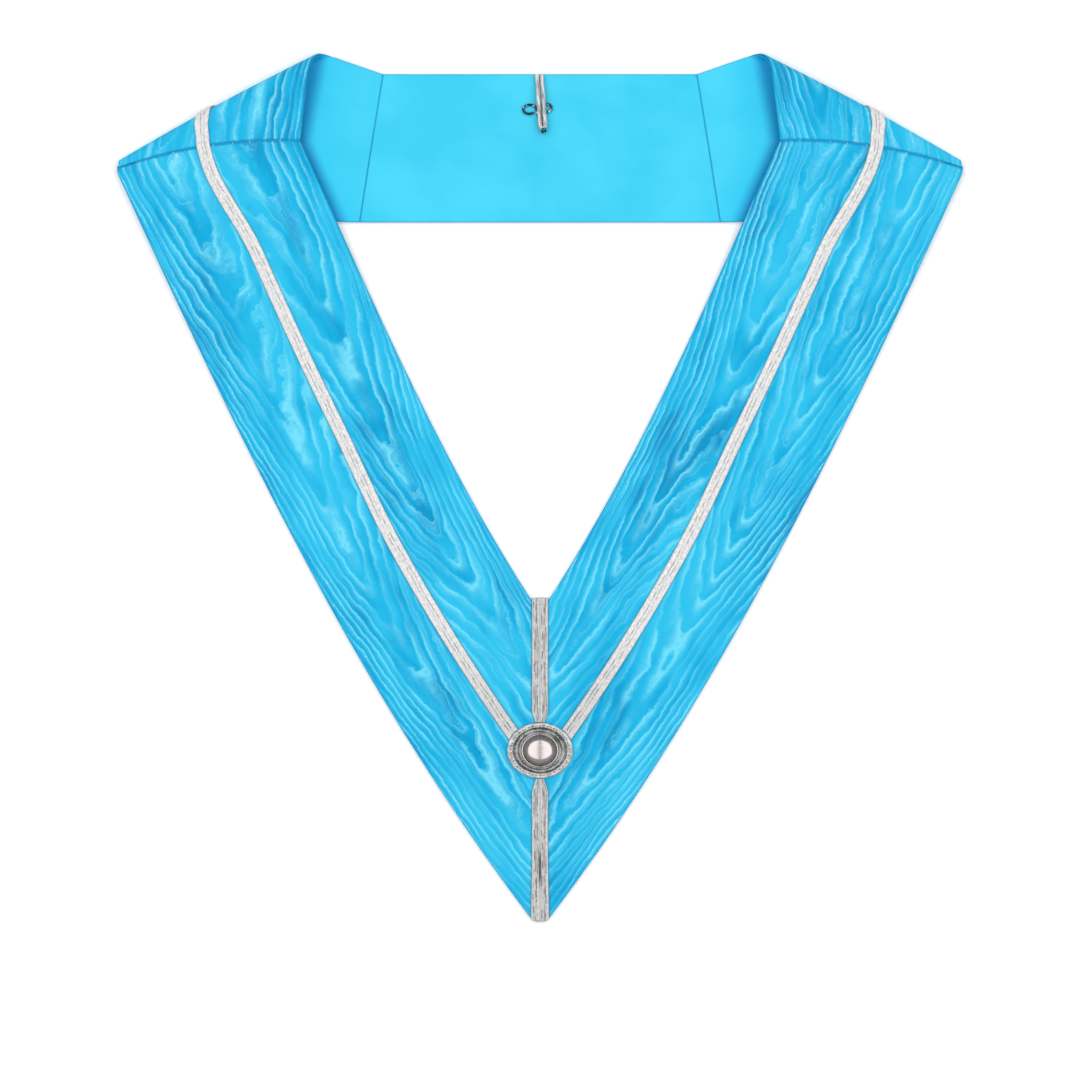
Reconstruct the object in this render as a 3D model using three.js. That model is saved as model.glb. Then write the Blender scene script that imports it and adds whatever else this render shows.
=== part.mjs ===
// A moire ribbon collar laid flat: a back band with its lining up, two shoulder pieces that fold
// over, and two long fronts that meet in a point under a round silver button.
// Millimetres, +Z up. X runs across the collar and Y from the front point to the back.
import * as THREE from 'three'

// Cloth, and the clearances between pieces that are sewn together
const ribbonThickness = 1.0
const liningThickness = 1.0
const layerGap = 0.3
const seamGap = 0.3
const trimGap = 0.3
const floorGap = 0.05
const clothThickness = ribbonThickness + layerGap + liningThickness

// Back band: its width, and half its length along the neck edge and along the outer edge
const bandWidth = 93.2
const bandNeckHalf = 98.9
const bandOuterHalf = 113.7
const frontPointToBack = 534.2

// Shoulder fold: its inner end, its length and slope, and the bend radius at each end
const foldInnerHalf = 140.5
const foldInnerRise = 12.3
const foldLength = 141.0
const foldSlope = THREE.MathUtils.degToRad(28.1)
const foldBow = 1.2
const foldRadiusInner = 6.5
const foldRadiusOuter = 2.6
const wrapShiftInner = 17.5
const wrapShiftOuter = 4.0
const outerEdgeRun = 56

// Shoulder seam on the top layer: where it starts and ends, its bow and how far the layer sinks to it
const seamInnerHalf = 150.6
const seamInnerDepth = 55.1
const seamOuterSide = 2.5
const seamOuterDrop = 5.5
const seamBow = 5.4
const shoulderSink = 2.0

// Fronts: depth of the neck opening, bows of the two edges, length that lifts off the floor
const throatHeight = 202.9
const neckEdgeBow = 6.0
const neckEdgeSkew = 0.9
const outerEdgeBow = 15.2
const outerEdgeSkew = 0.6
const liftedShare = 0.45
const mitreShare = 0.97
const seamBowShare = 0.5

// Silver braid
const braidWidth = 8.6
const braidThickness = 1.2
const braidGrooveDepth = 0.35
const centreBraidWidth = 10.4
const squareCutShare = 0.2

// Rosette: the button's height above the front point, then the rings from outside to inside
const rosetteHeight = 108.1
const rosetteRadius = 20.7
const rosetteOval = 0.845
const edgeBraidWidth = 3.6
const edgeBraidHeight = 2.2
const coilHeight = 1.6
const rimRadius = 11.8
const rimWire = 1.1
const buttonRadius = 8.8
const buttonOval = 0.9
const flangeWidth = 1.4
const flangeHeight = 0.7
const domeHeight = 4.6

// Loop of twin cord and the sewn-on hook that it is caught on
const cordDiameter = 2.8
const loopLength = 36
const loopLean = 2.4
const loopTopOffset = -0.5
const loopSpacing = cordDiameter + trimGap
const wireDiameter = 1.5
const hookDrop = 22
const hookOffset = -1.6
const eyeletLength = 9.6
const eyeletWidth = 7.2
const eyeletOpeningLeft = 0.8
const eyeletOpeningRight = 1.35
const eyeletLean = THREE.MathUtils.degToRad(4)
const shankSpacing = wireDiameter + trimGap
const billTurn = THREE.MathUtils.degToRad(145)


// How finely each stretch is divided, along the ribbon and around what is turned or bent from wire
const weftSteps = 10
const backSteps = 2
const lowerSteps = 5
const bendSteps = 8
const upperSteps = 4
const frontSteps = 22
const braidBendSteps = 9
const braidFrontSteps = 26
const seamSkip = 0.02
const turnSides = 32
const domeSteps = 7
const edgeBraidSides = 8
const wireSides = 6
const cordSides = 8
const hookSteps = 84
const loopSteps = 44

const lerp = THREE.MathUtils.lerp
const clamp01 = (t) => THREE.MathUtils.clamp(t, 0, 1)
const ease = (t) => clamp01(t) ** 2 * (3 - 2 * clamp01(t))
const bump = (t) => 4 * t * (1 - t)
const mix = (a, b, t) => new THREE.Vector3().lerpVectors(a, b, t)
const steps = (count, from = 0, to = 1) =>
  Array.from({ length: count + 1 }, (_, k) => lerp(from, to, k / count))

// Route of the silver braid across the ribbon's width, 0 at the neck edge and 1 at the outer edge.
// Stations: 0 back seam, 1 and 2 the two sides of the fold, 3 front seam, 4 the mitre, where the
// braid aims a little under the middle of the button.
const pointFoot = braidThickness + trimGap
const buttonShare = (throatHeight - rosetteHeight) / (throatHeight - pointFoot)
const braidRoute = [
  { station: -1, share: 0.5 },
  { station: 0, share: 0.5 },
  { station: 1, share: 0.553 },
  { station: 2, share: 0.553 },
  { station: 3, share: 0.526 },
  { station: 3.035, share: 0.537 },
  { station: 3.16, share: 0.488 },
  { station: 3.42, share: 0.488 },
  { station: 3.62, share: 0.512 },
  { station: 4, share: buttonShare + 0.03 },
]
function braidShare(station) {
  const next = braidRoute.findIndex((row) => row.station >= station)
  if (next <= 0) return braidRoute[0].share
  const a = braidRoute[next - 1]
  const b = braidRoute[next]
  return lerp(a.share, b.share, ease((station - a.station) / (b.station - a.station)))
}

// Plan of the left side, which is the side of negative X
const bandTop = frontPointToBack
const foldAlong = new THREE.Vector3(-Math.cos(foldSlope), -Math.sin(foldSlope), 0)
const foldOut = new THREE.Vector3(-Math.sin(foldSlope), Math.cos(foldSlope), 0)
const foldInner = new THREE.Vector3(-foldInnerHalf, bandTop + foldInnerRise, 0)
const foldOuter = foldInner.clone().addScaledVector(foldAlong, foldLength)
const seamInner = new THREE.Vector3(-seamInnerHalf, foldInner.y - seamInnerDepth, 0)
const seamOuter = foldOuter.clone().add(new THREE.Vector3(-seamOuterSide, -seamOuterDrop, 0))
const throatEnd = new THREE.Vector3(-centreBraidWidth / 2 - trimGap, throatHeight, 0)
const pointEnd = new THREE.Vector3(-centreBraidWidth / 2, pointFoot, 0)

// The band is raised along its middle by the braid under it, and lies on the floor at both edges
const crownHeight = floorGap + braidThickness + trimGap
function crown(u, station) {
  const middle = braidShare(station)
  const turn = u < middle ? u / middle : 1 + (u - middle) / (1 - middle)
  return crownHeight * Math.sin(turn * Math.PI / 2) ** 2
}

// Moire face of the back band, from the right seam (s = 0) to the left one (s = 1)
function backFace(u, s) {
  const half = lerp(bandNeckHalf, bandOuterHalf, u) - seamGap / 2
  return new THREE.Vector3(half * (1 - 2 * s), bandTop - bandWidth * u, crown(u, 0))
}

// Moire face of the left shoulder: lower layer (s 0 to 1), bend (1 to 2), upper layer (2 to 3)
const foldRadius = (u) => lerp(foldRadiusInner, foldRadiusOuter, u)
function foldSide(u, angle) {
  const radius = foldRadius(u)
  const shift = lerp(wrapShiftInner, wrapShiftOuter, u) * angle / Math.PI
  const place = mix(foldInner, foldOuter, u)
  const out = foldBow * bump(u) + radius * (Math.cos(angle) - 1)
  place.addScaledVector(foldOut, out).addScaledVector(foldAlong, shift)
  place.z = radius * (1 + Math.sin(angle))
  return place
}
function shoulderFace(u, s) {
  const place = new THREE.Vector3()
  if (s < 1) {
    const start = new THREE.Vector3(
      -lerp(bandNeckHalf, bandOuterHalf, u) - seamGap / 2, bandTop - bandWidth * u, 0)
    const end = foldSide(u, -Math.PI / 2)
    const bend = mix(start, end, 0.5).lerp(start.clone().setX(start.x - outerEdgeRun), u)
    place.copy(mix(mix(start, bend, s), mix(bend, end, s), s))
  } else if (s <= 2) {
    place.copy(foldSide(u, (s - 1.5) * Math.PI))
  } else {
    place.copy(mix(foldSide(u, Math.PI / 2), seamPoint(u, seamGap / 2), s - 2))
    place.z -= shoulderSink * (1 - u) * (s - 2) ** 2
  }
  place.z += crown(u, s)
  return place
}

// Front seam: a bowed line across the ribbon, moved up or down the collar by half the seam's gap
function seamPoint(u, shift) {
  const place = mix(seamInner, seamOuter, u)
  place.y += seamBow * bump(u) + shift
  place.z = 2 * foldRadius(u)
  return place
}

// Face of the left front, from the shoulder seam (v = 0) to the mitre on the centre line (v = 1)
function edgeLine(from, to, bow, skew, v) {
  const outward = new THREE.Vector3(to.y - from.y, from.x - to.x, 0).normalize()
  const t = Math.min(v / mitreShare, 1)
  const place = mix(from, to, t).addScaledVector(outward, bow * bump(t) * (1 + skew * (t - 0.5)))
  const mitre = new THREE.Vector3(-seamGap / 2, to.y, 0)
  return place.lerp(mitre, clamp01((v - mitreShare) / (1 - mitreShare)))
}
function frontFace(u, v) {
  const inner = edgeLine(seamPoint(0, -seamGap / 2), throatEnd, neckEdgeBow, neckEdgeSkew, v)
  const outer = edgeLine(seamPoint(1, -seamGap / 2), pointEnd, outerEdgeBow, outerEdgeSkew, v)
  const place = mix(inner, outer, u)
  place.y += seamBow * bump(u) * (1 - clamp01(v / seamBowShare)) ** 2
  const seamTop = 2 * foldRadius(u) - shoulderSink * (1 - u) + crown(u, 3)
  const lift = (1 - clamp01(v / liftedShare)) ** 2
  place.z = clothThickness + (seamTop - clothThickness) * lift
  return place
}

// Partial derivatives and outward normal of a face, by differences kept inside its own range
const nudge = 1e-4
function tangents(face, u, s, range) {
  const [u0, u1] = [Math.max(u - nudge, 0), Math.min(u + nudge, 1)]
  const [s0, s1] = [Math.max(s - nudge, range[0]), Math.min(s + nudge, range[1])]
  const du = face(u1, s).sub(face(u0, s)).divideScalar(u1 - u0)
  const ds = face(u, s1).sub(face(u, s0)).divideScalar(s1 - s0)
  const normal = new THREE.Vector3().crossVectors(du, ds).normalize()
  return { du, ds, normal }
}

// Closed wall between two grids of points: sides[0] is the inner grid and sides[1] the outer one
function wall(sides) {
  const columns = sides[0].length
  const rows = sides[0][0].length
  const positions = sides.flat(2).flatMap((p) => p.toArray())
  const at = (side, i, j) => (side * columns + i) * rows + j
  const index = []
  const quad = (a, b, c, d) => index.push(a, b, c, a, c, d)
  for (let i = 0; i + 1 < columns; i++) {
    for (let j = 0; j + 1 < rows; j++) {
      quad(at(1, i, j), at(1, i + 1, j), at(1, i + 1, j + 1), at(1, i, j + 1))
      quad(at(0, i, j), at(0, i, j + 1), at(0, i + 1, j + 1), at(0, i + 1, j))
    }
    quad(at(1, i, 0), at(0, i, 0), at(0, i + 1, 0), at(1, i + 1, 0))
    quad(at(1, i + 1, rows - 1), at(0, i + 1, rows - 1), at(0, i, rows - 1), at(1, i, rows - 1))
  }
  for (let j = 0; j + 1 < rows; j++) {
    quad(at(1, 0, j + 1), at(0, 0, j + 1), at(0, 0, j), at(1, 0, j))
    quad(at(1, columns - 1, j), at(0, columns - 1, j), at(0, columns - 1, j + 1), at(1, columns - 1, j + 1))
  }
  const geometry = new THREE.BufferGeometry()
  geometry.setAttribute('position', new THREE.Float32BufferAttribute(positions, 3))
  geometry.setIndex(index)
  geometry.computeVertexNormals()
  return geometry
}

// Cloth panel: the part of a face's thickness between two depths below it
function panel(face, across, along, depthTop, depthBottom) {
  const range = [along[0], along.at(-1)]
  const grid = (depth) => across.map((u) => along.map((s) => {
    const { normal } = tangents(face, u, s, range)
    return face(u, s).addScaledVector(normal, -depth)
  }))
  return wall([grid(depthBottom), grid(depthTop)])
}

// Braid laid on a face: it follows braidRoute, with two rounded cords and a groove between them.
// Its cut runs along the weft, and turns square to it on the front, where it meets the rosette.
const braidSection = [
  { across: -0.5, height: 0.55 },
  { across: -0.42, height: 0.92 },
  { across: -0.25, height: 1 },
  { across: 0, height: 1 - braidGrooveDepth },
  { across: 0.25, height: 1 },
  { across: 0.42, height: 0.92 },
  { across: 0.5, height: 0.55 },
]
function braidStep(run, s) {
  const { du, ds, normal } = tangents(run.face, braidShare(s + run.station), s, [0, run.length])
  const ahead = Math.min(s + nudge, run.length)
  const behind = Math.max(s - nudge, 0)
  const drift = (braidShare(ahead + run.station) - braidShare(behind + run.station)) / (ahead - behind)
  const course = ds.clone().addScaledVector(du, drift).normalize()
  const side = new THREE.Vector3().crossVectors(course, normal)
  if (side.dot(du) < 0) side.negate()
  const [uu, us, ss] = [du.dot(du), du.dot(ds), ds.dot(ds)]
  const [sideU, sideS] = [side.dot(du), side.dot(ds)]
  const scale = uu * ss - us * us
  const square = run.squareCut ? ease(s / squareCutShare) : 0
  const weftStep = 1 / du.clone().cross(course).length()
  return {
    u: lerp(weftStep, (sideU * ss - sideS * us) / scale, square),
    s: square * (sideS * uu - sideU * us) / scale,
  }
}
function braidPoint(run, s, across, height) {
  const step = braidStep(run, s)
  const u = braidShare(s + run.station) + step.u * across * braidWidth
  const along = THREE.MathUtils.clamp(s + step.s * across * braidWidth, 0, run.length)
  const { normal } = tangents(run.face, u, along, [0, run.length])
  return run.face(u, along).addScaledVector(normal, height)
}
const backRun = { face: (u, s) => backFace(u, 0.5 + s / 2), station: -1, length: 1 }
const shoulderRun = { face: shoulderFace, station: 0, length: 3 }
const frontRun = { face: frontFace, station: 3, length: 1, squareCut: true }

// The braid's end on the front is cut round the rosette: the share of the front where a line of
// the braid comes within the trim gap of the rosette's oval, found by halving
function rosetteReach(point) {
  const x = point.x / (rosetteRadius + trimGap)
  const y = (point.y - rosetteHeight) / (rosetteRadius * rosetteOval + trimGap)
  return Math.hypot(x, y)
}
function braidEnd(across) {
  let [outside, inside] = [0.5, 1]
  for (let k = 0; k < 20; k++) {
    const middle = (outside + inside) / 2
    if (rosetteReach(braidPoint(frontRun, middle, across, 0)) > 1) outside = middle
    else inside = middle
  }
  return outside
}
function sideBraid() {
  const grid = (heightOf) => braidSection.map(({ across, height }) => [
    ...steps(backSteps, seamGap / 2 / bandNeckHalf, 1).map((s) => [backRun, s]),
    ...steps(lowerSteps, seamSkip, 1).map((s) => [shoulderRun, s]),
    ...steps(braidBendSteps, 1, 2).slice(1).map((s) => [shoulderRun, s]),
    ...steps(upperSteps, 2, 3).slice(1).map((s) => [shoulderRun, s]),
    ...steps(braidFrontSteps, seamSkip, braidEnd(across)).map((s) => [frontRun, s]),
  ].map(([run, s]) => braidPoint(run, s, across, heightOf(height))))
  return wall([grid(() => trimGap), grid((height) => trimGap + braidThickness * height)])
}

// Straight double braid on the mitre, turned down over the cloth's edge at one end.
// Each row has a height along the collar, a level and the direction in which the braid is thick.
function centreBraid(rows) {
  const sections = [-0.25, 0.25].flatMap((shift) =>
    braidSection.map(({ across, height }) => ({ across: shift + across / 2, height })))
  sections.splice(braidSection.length, 1)
  const grid = (thickness) => sections.map(({ across, height }) => rows.map(({ y, z, out }) =>
    new THREE.Vector3(across * centreBraidWidth, y, z)
      .addScaledVector(out, height * thickness)))
  return wall([grid(0), grid(braidThickness)])
}
const frontTop = clothThickness + trimGap
const up = new THREE.Vector3(0, 0, 1)
const rosetteEdge = rosetteRadius * rosetteOval + trimGap
const throatEdge = throatHeight + trimGap
const centreBraidUpper = centreBraid([
  { y: rosetteHeight + rosetteEdge, z: frontTop, out: up },
  { y: throatEdge, z: frontTop, out: new THREE.Vector3(0, 1, 1) },
  { y: throatEdge, z: trimGap, out: new THREE.Vector3(0, 1, 0) },
])
const centreBraidLower = centreBraid([
  { y: braidThickness, z: trimGap, out: new THREE.Vector3(0, -1, 0) },
  { y: braidThickness, z: frontTop, out: new THREE.Vector3(0, -1, 1) },
  { y: rosetteHeight - rosetteEdge, z: frontTop, out: up },
])

// Rosette: turned shapes squeezed to an oval, stacked on the fronts around the button's axis.
// A profile's points are radius and height above its seat, and run up the outside.
function turned(profile, oval, seat) {
  const points = profile.map(([radius, height]) => new THREE.Vector2(radius, height))
  const geometry = new THREE.LatheGeometry(points, turnSides)
  geometry.rotateX(Math.PI / 2)
  geometry.scale(1, oval, 1)
  geometry.translate(0, rosetteHeight, seat)
  return geometry
}
function ringProfile(outer, width, height, sides) {
  return steps(sides).map((turn) => {
    const angle = (turn - 0.25) * 2 * Math.PI
    return [outer - width / 2 + Math.cos(angle) * width / 2, (1 + Math.sin(angle)) * height / 2]
  })
}
const coilRadius = rosetteRadius - edgeBraidWidth - trimGap
const coilTop = frontTop + coilHeight
const rosetteEdgeBraid = turned(
  ringProfile(rosetteRadius, edgeBraidWidth, edgeBraidHeight, edgeBraidSides), rosetteOval, frontTop)
const coilBevel = coilHeight / 2
const coilProfile = [
  [0, 0], [coilRadius, 0], [coilRadius, coilBevel], [coilRadius - coilBevel, coilHeight], [0, coilHeight],
]
const rosetteCoil = turned(coilProfile, rosetteOval, frontTop)
const rim = turned(ringProfile(rimRadius, rimWire, rimWire, wireSides), buttonOval, coilTop + trimGap)
const flangeRadius = buttonRadius + flangeWidth
const domeProfile = steps(domeSteps).map((turn) => [
  buttonRadius * Math.cos(turn * Math.PI / 2),
  flangeHeight + (domeHeight - flangeHeight) * Math.sin(turn * Math.PI / 2),
])
domeProfile.at(-1)[0] = 0
const button = turned(
  [[0, 0], [flangeRadius, 0], [flangeRadius, flangeHeight], ...domeProfile],
  buttonOval, coilTop + trimGap)

// Loop and hook lie on the lining of the back band, and follow its rise towards the middle
const liningTop = (y) => crown(clamp01((bandTop - y) / bandWidth), -1) + clothThickness
const round = (diameter, sides) => new THREE.Shape(steps(sides).slice(1).map((turn) =>
  new THREE.Vector2(Math.cos(turn * 2 * Math.PI), Math.sin(turn * 2 * Math.PI)).multiplyScalar(diameter / 2)))
function wire(points, diameter, sides, stepCount) {
  const extrudePath = new THREE.CatmullRomCurve3(points, false, 'centripetal')
  const options = { steps: stepCount, bevelEnabled: false, extrudePath }
  return new THREE.ExtrudeGeometry(round(diameter, sides), options)
}
const loopEnd = bandTop - loopLength
const loopLift = wireDiameter + trimGap
const loopAt = (side, y) => new THREE.Vector3(
  loopTopOffset + loopLean * (bandTop - y) / loopLength + side * loopSpacing / 2,
  y,
  liningTop(y) + trimGap + cordDiameter / 2 + loopLift * ease((bandTop - y) / (hookDrop - eyeletWidth)))
const turnCentre = loopEnd + cordDiameter / 2 + loopSpacing / 2
const loopStrand = (side) => steps(7, bandTop - trimGap, turnCentre).map((y) => loopAt(side, y))
const loopTurn = steps(6, Math.PI, 2 * Math.PI).slice(1, -1).map((angle) => {
  const place = loopAt(0, turnCentre)
  place.x += Math.cos(angle) * loopSpacing / 2
  place.y += Math.sin(angle) * loopSpacing / 2
  return place
})
const loopRoute = [...loopStrand(-1), ...loopTurn, ...loopStrand(1).reverse()]
const loop = wire(loopRoute, cordDiameter, cordSides, loopSteps)

// Hook: one wire that makes an eyelet, runs down as a shank, curls up round the loop's end, and
// comes back beside itself to the other eyelet. It is drawn upright from the middle of its two
// eyelets, then leant so that the curl meets the loop's end; the eyelets themselves lean less.
const hookCentre = new THREE.Vector2(hookOffset, bandTop - hookDrop)
const billCentre = new THREE.Vector2(loopTopOffset + loopLean, loopEnd + cordDiameter / 2)
const shankLength = hookCentre.distanceTo(billCentre)
const hookLean = Math.atan2(billCentre.x - hookCentre.x, hookCentre.y - billCentre.y)
const billRadius = (cordDiameter + wireDiameter) / 2 + trimGap
const eyeletHalf = { x: (eyeletLength - wireDiameter) / 2, y: (eyeletWidth - wireDiameter) / 2 }
function hookPoint(x, y, rise, lean = hookLean) {
  const plan = new THREE.Vector2(x, y).rotateAround(new THREE.Vector2(), lean).add(hookCentre)
  return new THREE.Vector3(plan.x, plan.y, liningTop(plan.y) + trimGap + wireDiameter / 2 + rise)
}
const billPoint = (x, angle) =>
  hookPoint(x, -shankLength - billRadius * Math.sin(angle), billRadius * (1 - Math.cos(angle)))
const eyeletTurn = (opening) => 2 * Math.PI - Math.acos(1 - opening * shankSpacing / eyeletHalf.x)
const hookSide = (side, opening) => [
  ...steps(11, eyeletTurn(opening), 0).map((angle) => hookPoint(
    side * (shankSpacing / 2 + eyeletHalf.x * (1 - Math.cos(angle))), eyeletHalf.y * Math.sin(angle),
    0, eyeletLean)),
  ...steps(3, 0, -shankLength).slice(1).map((y) => hookPoint(side * shankSpacing / 2, y, 0)),
  ...steps(5, 0, billTurn).slice(1).map((angle) => billPoint(side * shankSpacing / 2, angle)),
]
const billTip = billPoint(0, billTurn + shankSpacing / 2 / billRadius)
const hookRoute = [...hookSide(-1, eyeletOpeningLeft), billTip, ...hookSide(1, eyeletOpeningRight).reverse()]
const hook = wire(hookRoute, wireDiameter, wireSides, hookSteps)

// Finishes
const finish = (color, roughness, metalness) => () =>
  new THREE.MeshStandardMaterial({ color, roughness, metalness })
const moire = finish(0x17b2ea, 0.45, 0)
const satin = finish(0x3ccffb, 0.6, 0)
const silverBraid = finish(0xd9d9d6, 0.45, 0.5)
const darkBraid = finish(0x77757a, 0.6, 0.4)
const polishedSilver = finish(0xe4dbda, 0.12, 1)
const darkNickel = finish(0x2f3138, 0.25, 1)

// The collar, stood with the middle of its underside on the origin
const collar = new THREE.Group()
const base = new THREE.Group()
collar.add(base)
function piece(name, geometry, material, mirrored = false) {
  const mesh = new THREE.Mesh(geometry, material())
  mesh.name = name
  if (mirrored) mesh.scale.x = -1
  base.add(mesh)
}
const across = steps(weftSteps)
const backAlong = steps(backSteps)
const shoulderAlong = [
  ...steps(lowerSteps),
  ...steps(bendSteps, 1, 2).slice(1),
  ...steps(upperSteps, 2, 3).slice(1),
]
const frontAlong = [...steps(frontSteps, 0, mitreShare), 1]
const ribbonDepths = [0, ribbonThickness]
const liningDepths = [ribbonThickness + layerGap, clothThickness]
const shoulderRibbon = panel(shoulderFace, across, shoulderAlong, ...ribbonDepths)
const shoulderLining = panel(shoulderFace, across, shoulderAlong, ...liningDepths)
const front = panel(frontFace, across, frontAlong, 0, clothThickness)
const braid = sideBraid()
piece('back_ribbon', panel(backFace, across, backAlong, ...ribbonDepths), moire)
piece('back_lining', panel(backFace, across, backAlong, ...liningDepths), satin)
for (const [side, mirrored] of [['left', false], ['right', true]]) {
  piece(`shoulder_ribbon_${side}`, shoulderRibbon, moire, mirrored)
  piece(`shoulder_lining_${side}`, shoulderLining, satin, mirrored)
  piece(`front_${side}`, front, moire, mirrored)
  piece(`braid_${side}`, braid, silverBraid, mirrored)
}
piece('centre_braid_upper', centreBraidUpper, silverBraid)
piece('centre_braid_lower', centreBraidLower, silverBraid)
piece('rosette_edge_braid', rosetteEdgeBraid, silverBraid)
piece('rosette_coil', rosetteCoil, darkBraid)
piece('button_rim', rim, polishedSilver)
piece('button', button, polishedSilver)
piece('back_loop', loop, silverBraid)
piece('back_hook', hook, darkNickel)

const bounds = new THREE.Box3().setFromObject(base)
base.position.set(0, -(bounds.min.y + bounds.max.y) / 2, -bounds.min.z)

export default collar
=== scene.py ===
import math

import bmesh
import bpy
import numpy as np
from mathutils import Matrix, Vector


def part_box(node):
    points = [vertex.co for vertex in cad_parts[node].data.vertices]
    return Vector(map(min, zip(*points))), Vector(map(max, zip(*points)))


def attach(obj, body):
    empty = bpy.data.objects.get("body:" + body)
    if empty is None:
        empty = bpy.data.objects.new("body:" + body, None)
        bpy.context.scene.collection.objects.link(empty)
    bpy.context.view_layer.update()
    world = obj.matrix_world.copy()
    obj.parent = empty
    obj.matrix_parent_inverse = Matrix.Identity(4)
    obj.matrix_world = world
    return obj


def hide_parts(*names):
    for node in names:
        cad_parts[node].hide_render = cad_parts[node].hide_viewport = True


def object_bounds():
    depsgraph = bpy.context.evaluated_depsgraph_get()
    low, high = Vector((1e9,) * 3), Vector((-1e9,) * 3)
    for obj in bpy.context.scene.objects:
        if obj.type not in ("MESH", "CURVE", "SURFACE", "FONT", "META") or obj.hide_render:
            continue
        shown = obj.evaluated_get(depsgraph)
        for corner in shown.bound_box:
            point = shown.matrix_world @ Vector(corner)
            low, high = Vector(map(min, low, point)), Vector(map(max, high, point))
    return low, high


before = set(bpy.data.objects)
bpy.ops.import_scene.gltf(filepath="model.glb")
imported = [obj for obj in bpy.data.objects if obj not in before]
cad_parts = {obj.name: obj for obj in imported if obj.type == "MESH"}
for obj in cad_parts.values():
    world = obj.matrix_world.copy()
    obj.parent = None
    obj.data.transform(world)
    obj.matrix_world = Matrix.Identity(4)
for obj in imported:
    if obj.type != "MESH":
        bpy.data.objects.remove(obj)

MM = 0.001
cad_low, cad_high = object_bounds()

# Camera
# The collar lies on a pale table and is seen from straight above, as a garment is photographed
# flat. The photograph takes in 680 mm each way, and the front point is 382 pixels below its middle.
PIXEL_MM = 0.63
IMAGE_PIXELS = 1080
POINT_BELOW_MIDDLE_PIXELS = 382
CAMERA_HEIGHT = 2.2
CLOTH_LEVEL = 0.003
view_middle_y = cad_low.y + POINT_BELOW_MIDDLE_PIXELS * PIXEL_MM * MM
camera_data = bpy.data.cameras.new("camera")
camera_data.sensor_width = 36
camera_data.lens = camera_data.sensor_width * (CAMERA_HEIGHT - CLOTH_LEVEL) / (
    IMAGE_PIXELS * PIXEL_MM * MM)
camera = bpy.data.objects.new("camera", camera_data)
camera.location = (0, view_middle_y, CAMERA_HEIGHT)
bpy.context.scene.collection.objects.link(camera)
bpy.context.scene.camera = camera

# Table and light
# A plain pale table top under two large soft boxes, side by side with the camera's gap between
# them, and a dim even room.
TABLE_REACH = 6.0
TABLE_WHITE = 0.92
TABLE_ROUGHNESS = 0.9
table_mesh = bpy.data.meshes.new("table_top")
table_corners = [(-TABLE_REACH, -TABLE_REACH, 0), (TABLE_REACH, -TABLE_REACH, 0),
                 (TABLE_REACH, TABLE_REACH, 0), (-TABLE_REACH, TABLE_REACH, 0)]
table_mesh.from_pydata(table_corners, [], [(0, 1, 2, 3)])
table_top = bpy.data.objects.new("table_top", table_mesh)
bpy.context.scene.collection.objects.link(table_top)
table_paint = bpy.data.materials.new("table_paint")
table_paint.use_nodes = True
table_inputs = table_paint.node_tree.nodes["Principled BSDF"].inputs
table_inputs["Base Color"].default_value = (TABLE_WHITE, TABLE_WHITE, TABLE_WHITE, 1)
table_inputs["Roughness"].default_value = TABLE_ROUGHNESS
table_mesh.materials.append(table_paint)

SOFT_BOX_WIDTH = 2.6
SOFT_BOX_DEPTH = 3.6
SOFT_BOX_HEIGHT = 1.9
SOFT_BOX_GAP = 0.26
SOFT_BOX_SHIFT = 0.4
SOFT_BOX_WATTS = 42
ROOM_STRENGTH = 0.45
for side in (-1, 1):
    soft_box = bpy.data.lights.new("soft_box", "AREA")
    soft_box.shape = "RECTANGLE"
    soft_box.size = SOFT_BOX_WIDTH
    soft_box.size_y = SOFT_BOX_DEPTH
    soft_box.energy = SOFT_BOX_WATTS
    lamp = bpy.data.objects.new("soft_box", soft_box)
    lamp_x = side * (SOFT_BOX_WIDTH + SOFT_BOX_GAP) / 2
    lamp.location = (lamp_x, view_middle_y + SOFT_BOX_SHIFT, SOFT_BOX_HEIGHT)
    lamp.visible_camera = False
    bpy.context.scene.collection.objects.link(lamp)
room = bpy.data.worlds.new("room")
room.use_nodes = True
room.node_tree.nodes["Background"].inputs["Color"].default_value = (1, 1, 1, 1)
room.node_tree.nodes["Background"].inputs["Strength"].default_value = ROOM_STRENGTH
bpy.context.scene.world = room
bpy.context.scene.view_settings.view_transform = "Standard"

# Back ribbon
# The moire ribbon behind the neck, laid face down with braid under its middle, so it rises there
# and rests on both edges. All sizes are in millimetres, from the front point up the collar.
RIBBON_THICK = 1.0
LINING_THICK = 1.0
LAYER_GAP = 0.3
SEAM_GAP = 0.3
BACK_SEAM_GAP = 0.1
TRIM_GAP = 0.3
CLOTH_THICK = RIBBON_THICK + LAYER_GAP + LINING_THICK
BAND_WIDTH = 93.2
BAND_NECK_HALF = 98.9
BAND_OUTER_HALF = 113.7
BAND_TOP = 534.2
CROWN_HEIGHT = 1.55
THROAT_HEIGHT = 202.9
POINT_FOOT = 1.5
ROSETTE_HEIGHT = 108.1
BUTTON_SHARE = (THROAT_HEIGHT - ROSETTE_HEIGHT) / (THROAT_HEIGHT - POINT_FOOT)
BRAID_STATION = np.array([-1, 0, 1, 2, 3, 3.035, 3.16, 3.42, 3.62, 4])
BRAID_SHARE = np.array([0.5, 0.5, 0.553, 0.553, 0.526, 0.537, 0.488, 0.488, 0.512, BUTTON_SHARE + 0.03])
SLOPE_STEP = 1e-4
WELD_REACH = 1e-7
part_origin = np.array([0, cad_low.y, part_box("front_left")[0].z])


def ease(t):
    """0 to 1 with a flat start and end: t squared times (3 - 2t)."""
    t = np.clip(t, 0, 1)
    return t * t * (3 - 2 * t)


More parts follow.
